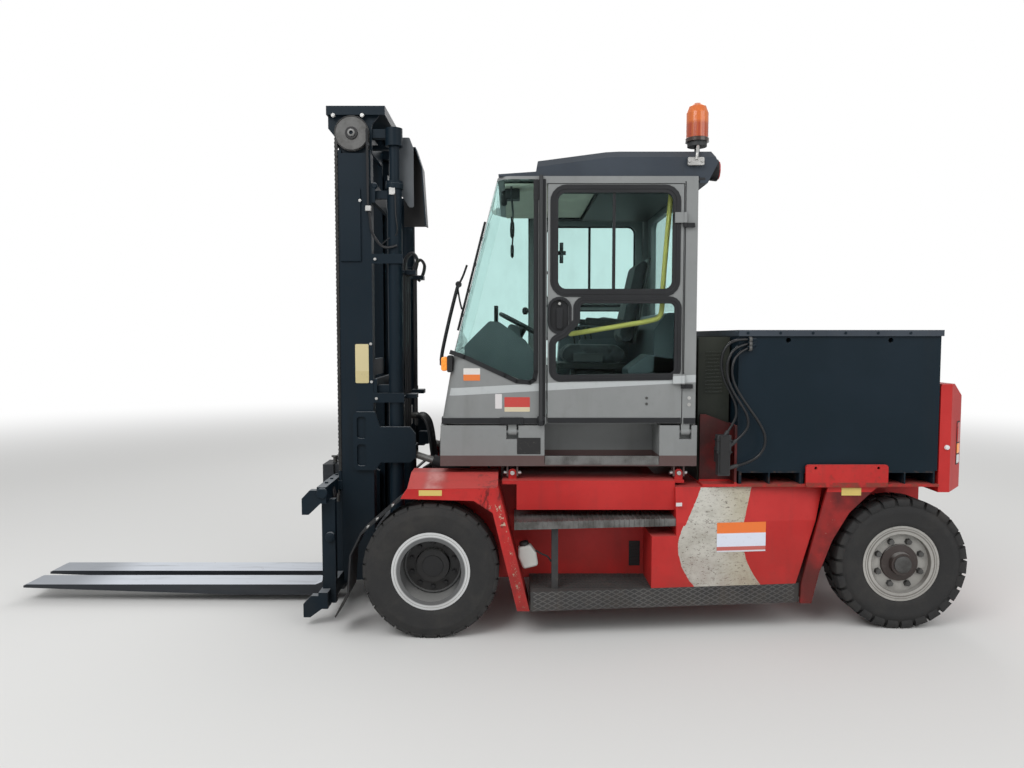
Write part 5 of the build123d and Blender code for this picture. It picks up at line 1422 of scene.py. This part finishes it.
def makeSideTrim():
    bottle = Shape()
    outline = [(516, 404), (606, 396), (618, 470), (600, 528), (530, 536), (510, 480)]
    bottle.slab(rounded(outline, 18), "xz", -820, -748)
    bottle.turned((560, 0, 470), "Y", -19)
    bottle.piece("washer_bottle", "chassis", "whitePlastic", bevel=10.0)
    cap = Shape().lathe([(0, 0), (28, 0), (28, 20), (20, 26), (0, 26)], (560, -784, 530), "z", 28)
    cap.turned((560, 0, 470), "Y", -14)
    cap.tube(curved([(612, -790, 500), (650, -800, 480), (680, -812, 470), (704, -818, 440)]), 5)
    cap.piece("washer_bottle_cap", "chassis", "darkPlastic")
    vent = Shape()
    vent.box(1200, 1268, -549, -544.5, 336, 492)
    for k in range(7):
        vent.box(1206, 1262, -553, -548, 350 + k * 20, 358 + k * 20)
    vent.piece("frame_vent", "chassis", "darkPlastic", bevel=1.0)
    pins = Shape()
    for side in (-1, 1):
        for x in (475, 1470):
            pins.tube([(x, side * 632, 946), (x, side * 716, 946)], 13, 16)
            for step in (-1, 1):
                pins.tube([(x + step * 34, side * 690, 946), (x + step * 52, side * 690, 946)], 11, 12)
    pins.piece("cab_mount_pins", "chassis", "brightSteel", bevel=1.0)
    places = [((x, side * 872, z), (-0.75, 0, 0.65)) for x, z in ((-306, 708), (-360, 662), (-215, 788))
              for side in (-1, 1)]
    bolts("apron_bolts", "chassis", "brightSteel", places, 8, 7, 13)
    lamp = Shape()
    for side in (-1, 1):
        lamp.lathe(facing([(0, 750), (15, 750), (13, 760), (0, 762)], side), (3042, 0, 1106), "y", 28)
    lamp.piece("side_lamps", "chassis", "clearLens")
    print("side trim made")


def makeSideStickers():
    sticker("front_fender_sticker", "chassis", "yellowLabel", -62, 70, 848, 880, truck["fenderSide"])
    sticker("rear_fender_sticker", "chassis", "yellowLabel", 2424, 2540, 820, 866, 756)
    slanted = (("side_sign", "signLabel", 1681, 1978, 488, 664),
               ("small_white_sticker", "whiteLabel", 1432, 1468, 768, 789))
    for name, finish, x0, x1, z0, z1 in slanted:  # on the wall that narrows rearwards
        corners = [(x0, z0), (x1, z0), (x1, z1), (x0, z1)]
        rings = [[at(x, -bodySide(x) - proud, z) for x, z in corners] for proud in (0.2, 2.0)]
        Shape().skin(rings).piece(name, "chassis", finish)
    print("side stickers made")


lampLook = {"rear_lamps_red": ("redLens", 1120, 1240), "rear_lamps_amber": ("orangeLens", 1052, 1112),
            "rear_lamps_white": ("clearLens", 992, 1044)}  # finish, lowest and highest height
lampPlace = {"first": (3064, 750), "last": (3230, 560), "share": 0.72}  # on the counterweight's chamfer


def makeRearTrim():
    first, last = Vector(lampPlace["first"]), Vector(lampPlace["last"])
    along = (last - first).normalized()
    out = Vector((-along.y, along.x))
    middle = first.lerp(last, lampPlace["share"])

    def flat(half, proud, taper):  # outline of a lamp seen from above, and its mirror image
        corners = [middle + along * a + out * b
                   for a, b in ((-half, -1), (half, -1), (half - taper, proud), (taper - half, proud))]
        return [[(c.x, side * c.y) for c in corners] for side in (-1, 1)]

    for name, (finish, low, high) in lampLook.items():
        shape = Shape()
        for outline in flat(30, 7, 2):
            shape.slab(outline, "xy", low, high)
        shape.piece(name, "chassis", finish, bevel=4.0)
    back = Shape()
    for outline in flat(36, 3, 0):
        back.slab(outline, "xy", 984, 1248)
    back.piece("rear_lamp_frames", "chassis", "darkPlastic", bevel=2.0)
    places = [((1850 + k * 190, side * 766.5, 1780), (0, side, 0)) for k in range(6) for side in (-1, 1)]
    bolts("lid_rivets", "chassis", "mast_paint", places, 5, 3, 8)
    slat = Shape()
    for side in (-1, 1):
        slat.slab([(1640, 1420), (1744, 1420), (1744, 1432), (1640, 1426)], "xz", side * 620.2, side * 626)
    mesh = rows(slat, 12, (0, 0, 22), "housingPaint")
    Shape().take(mesh).piece("housing_louvres", "chassis", "housingPaint")
    glands = Shape()
    for z in (1742, 1717, 1692):
        glands.lathe([(12, 0), (18, 0), (18, 16), (12, 16)], (1856, -764, z), "x", 20)
    glands.piece("cable_gland_nuts", "chassis", "greasySteel")
    strap = Shape()
    for z0, z1 in ((1082, 1092), (1150, 1160)):
        strap.box(1664, 1756, -818, -752, z0, z1)
    strap.box(1684, 1736, -824, -814, 960, 1180)
    strap.piece("plug_straps", "chassis", "darkPlastic", bevel=1.5)
    print("rear trim made")


makeStepTrim()
makeSideTrim()
makeSideStickers()
makeRearTrim()


# Camera, matched to the photograph's frame

cameraView = {"station": 472.6, "side": -5267.0, "height": 1759.0, "down": 3.52, "lens": 27.06,
              "film": 36.0, "farthest": 200.0}


def makeCamera():
    data = bpy.data.cameras.new("photoCamera")
    data.lens = cameraView["lens"]
    data.sensor_width = cameraView["film"]
    data.clip_end = cameraView["farthest"]
    camera = bpy.data.objects.new("photoCamera", data)
    camera.location = at(cameraView["station"], cameraView["side"], cameraView["height"])
    camera.rotation_euler = (math.radians(90.0 - cameraView["down"]), 0.0, 0.0)
    bpy.context.scene.collection.objects.link(camera)
    bpy.context.scene.camera = camera


makeCamera()


# Battery cables

cableLook = {"diameter": 16.0}
cableRoutes = {
    "battery_cable_upper": [
        (1850, -764, 1742), (1770, -793, 1746), (1704, -786, 1690), (1688, -783, 1600),
        (1708, -783, 1508), (1752, -783, 1428), (1786, -783, 1350), (1782, -783, 1270),
        (1738, -783, 1206)],
    "battery_cable_middle": [
        (1850, -764, 1717), (1772, -796, 1702), (1726, -803, 1634), (1716, -803, 1548),
        (1746, -803, 1460), (1798, -803, 1376), (1850, -803, 1296), (1850, -802, 1212),
        (1784, -796, 1154)],
    "battery_cable_lower": [
        (1850, -764, 1692), (1784, -788, 1664), (1748, -803, 1594), (1752, -804, 1510),
        (1792, -804, 1430), (1852, -804, 1344), (1912, -804, 1262), (1956, -804, 1176),
        (1940, -804, 1090), (1876, -802, 1030), (1794, -798, 1006)],
}


def splineLength(obj):
    seen = obj.evaluated_get(bpy.context.evaluated_depsgraph_get())
    line = bpy.data.meshes.new_from_object(seen)
    places = [vertex.co for vertex in line.vertices]
    length = sum((places[edge.vertices[0]] - places[edge.vertices[1]]).length for edge in line.edges)
    bpy.data.meshes.remove(line)
    return length


def makeCables():
    for nodeName, route in cableRoutes.items():
        curve = bpy.data.curves.new(nodeName + "_lead", "CURVE")
        curve.dimensions = "3D"
        curve.resolution_u = 16
        spline = curve.splines.new("NURBS")
        spline.points.add(len(route) - 1)
        for point, place in zip(spline.points, route):
            point.co = (*at(*place), 1.0)
        spline.order_u = 3
        spline.use_endpoint_u = True
        lead = bpy.data.objects.new(nodeName + "_lead", curve)
        bpy.context.scene.collection.objects.link(lead)
        bpy.context.view_layer.update()
        length = splineLength(lead)
        curve.bevel_depth = cableLook["diameter"] / 2000
        curve.bevel_resolution = 5
        curve.use_fill_caps = True
        curve.materials.append(finishes["cable_rubber"])
        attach(lead, "chassis")
        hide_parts(nodeName)
        at(*route[0])
        print(nodeName, "is", round(length, 3), "m long")


makeCables()


# Floor and light

stageLook = {"floor": (0.72, 0.72, 0.71), "fadeFrom": 6.5, "fadeTo": 17.0, "world": 0.62, "reach": 60.0,
             "aim": (0, 0, 1.2)}
lamps = {"key": ((-3.5, -6.5, 7.5), 400.0, 5.0), "fill": ((5.5, -5.0, 4.5), 130.0, 5.0),
         "back": ((2.0, 6.5, 6.5), 200.0, 6.0)}  # place, power and size


def makeFloor():
    mesh = bpy.data.meshes.new("floor")
    size = stageLook["reach"]
    mesh.from_pydata([(-size, -size, 0), (size, -size, 0), (size, size, 0), (-size, size, 0)], [],
                     [(0, 1, 2, 3)])
    floor = bpy.data.objects.new("floor", mesh)
    bpy.context.scene.collection.objects.link(floor)
    shader = Shader("pale floor")
    across, along = shader.axis("X"), shader.axis("Y")
    far = (across * across + along * along).root().step(stageLook["fadeFrom"], stageLook["fadeTo"])
    plain = shader.node("BsdfDiffuse", {"Color": stageLook["floor"]})
    white = shader.node("Emission", {"Color": (1.0, 1.0, 1.0), "Strength": 1.0})
    seen = shader.node("LightPath", output="Is Camera Ray")
    mixed = shader.node("MixShader", {0: far * seen, 1: plain, 2: white})
    shader.node("OutputMaterial", {"Surface": mixed})
    mesh.materials.append(shader.material)


def makeWorld():  # white where it is seen straight or through glass, dimmer as a light
    world = bpy.data.worlds.new("studio")
    bpy.context.scene.world = world
    world.use_nodes = True
    tree = world.node_tree
    tree.nodes.clear()
    path = tree.nodes.new("ShaderNodeLightPath")
    seen = tree.nodes.new("ShaderNodeMath")
    seen.operation = "MAXIMUM"
    tree.links.new(path.outputs["Is Camera Ray"], seen.inputs[0])
    tree.links.new(path.outputs["Is Transmission Ray"], seen.inputs[1])
    strength = tree.nodes.new("ShaderNodeMapRange")
    strength.inputs["To Min"].default_value = stageLook["world"]
    strength.inputs["To Max"].default_value = 1.0
    tree.links.new(seen.outputs[0], strength.inputs["Value"])
    sky = tree.nodes.new("ShaderNodeBackground")
    sky.inputs["Color"].default_value = (1.0, 1.0, 1.0, 1.0)
    tree.links.new(strength.outputs[0], sky.inputs["Strength"])
    output = tree.nodes.new("ShaderNodeOutputWorld")
    tree.links.new(sky.outputs[0], output.inputs["Surface"])
    bpy.context.scene.view_settings.view_transform = "Standard"


def makeLamps():
    for name, (place, power, size) in lamps.items():
        lamp = bpy.data.lights.new(name, "AREA")
        lamp.energy = power
        lamp.size = size
        obj = bpy.data.objects.new(name, lamp)
        obj.location = place
        aim = Vector(stageLook["aim"]) - Vector(place)
        obj.rotation_euler = aim.to_track_quat("-Z", "Y").to_euler()
        bpy.context.scene.collection.objects.link(obj)


makeFloor()
makeWorld()
makeLamps()
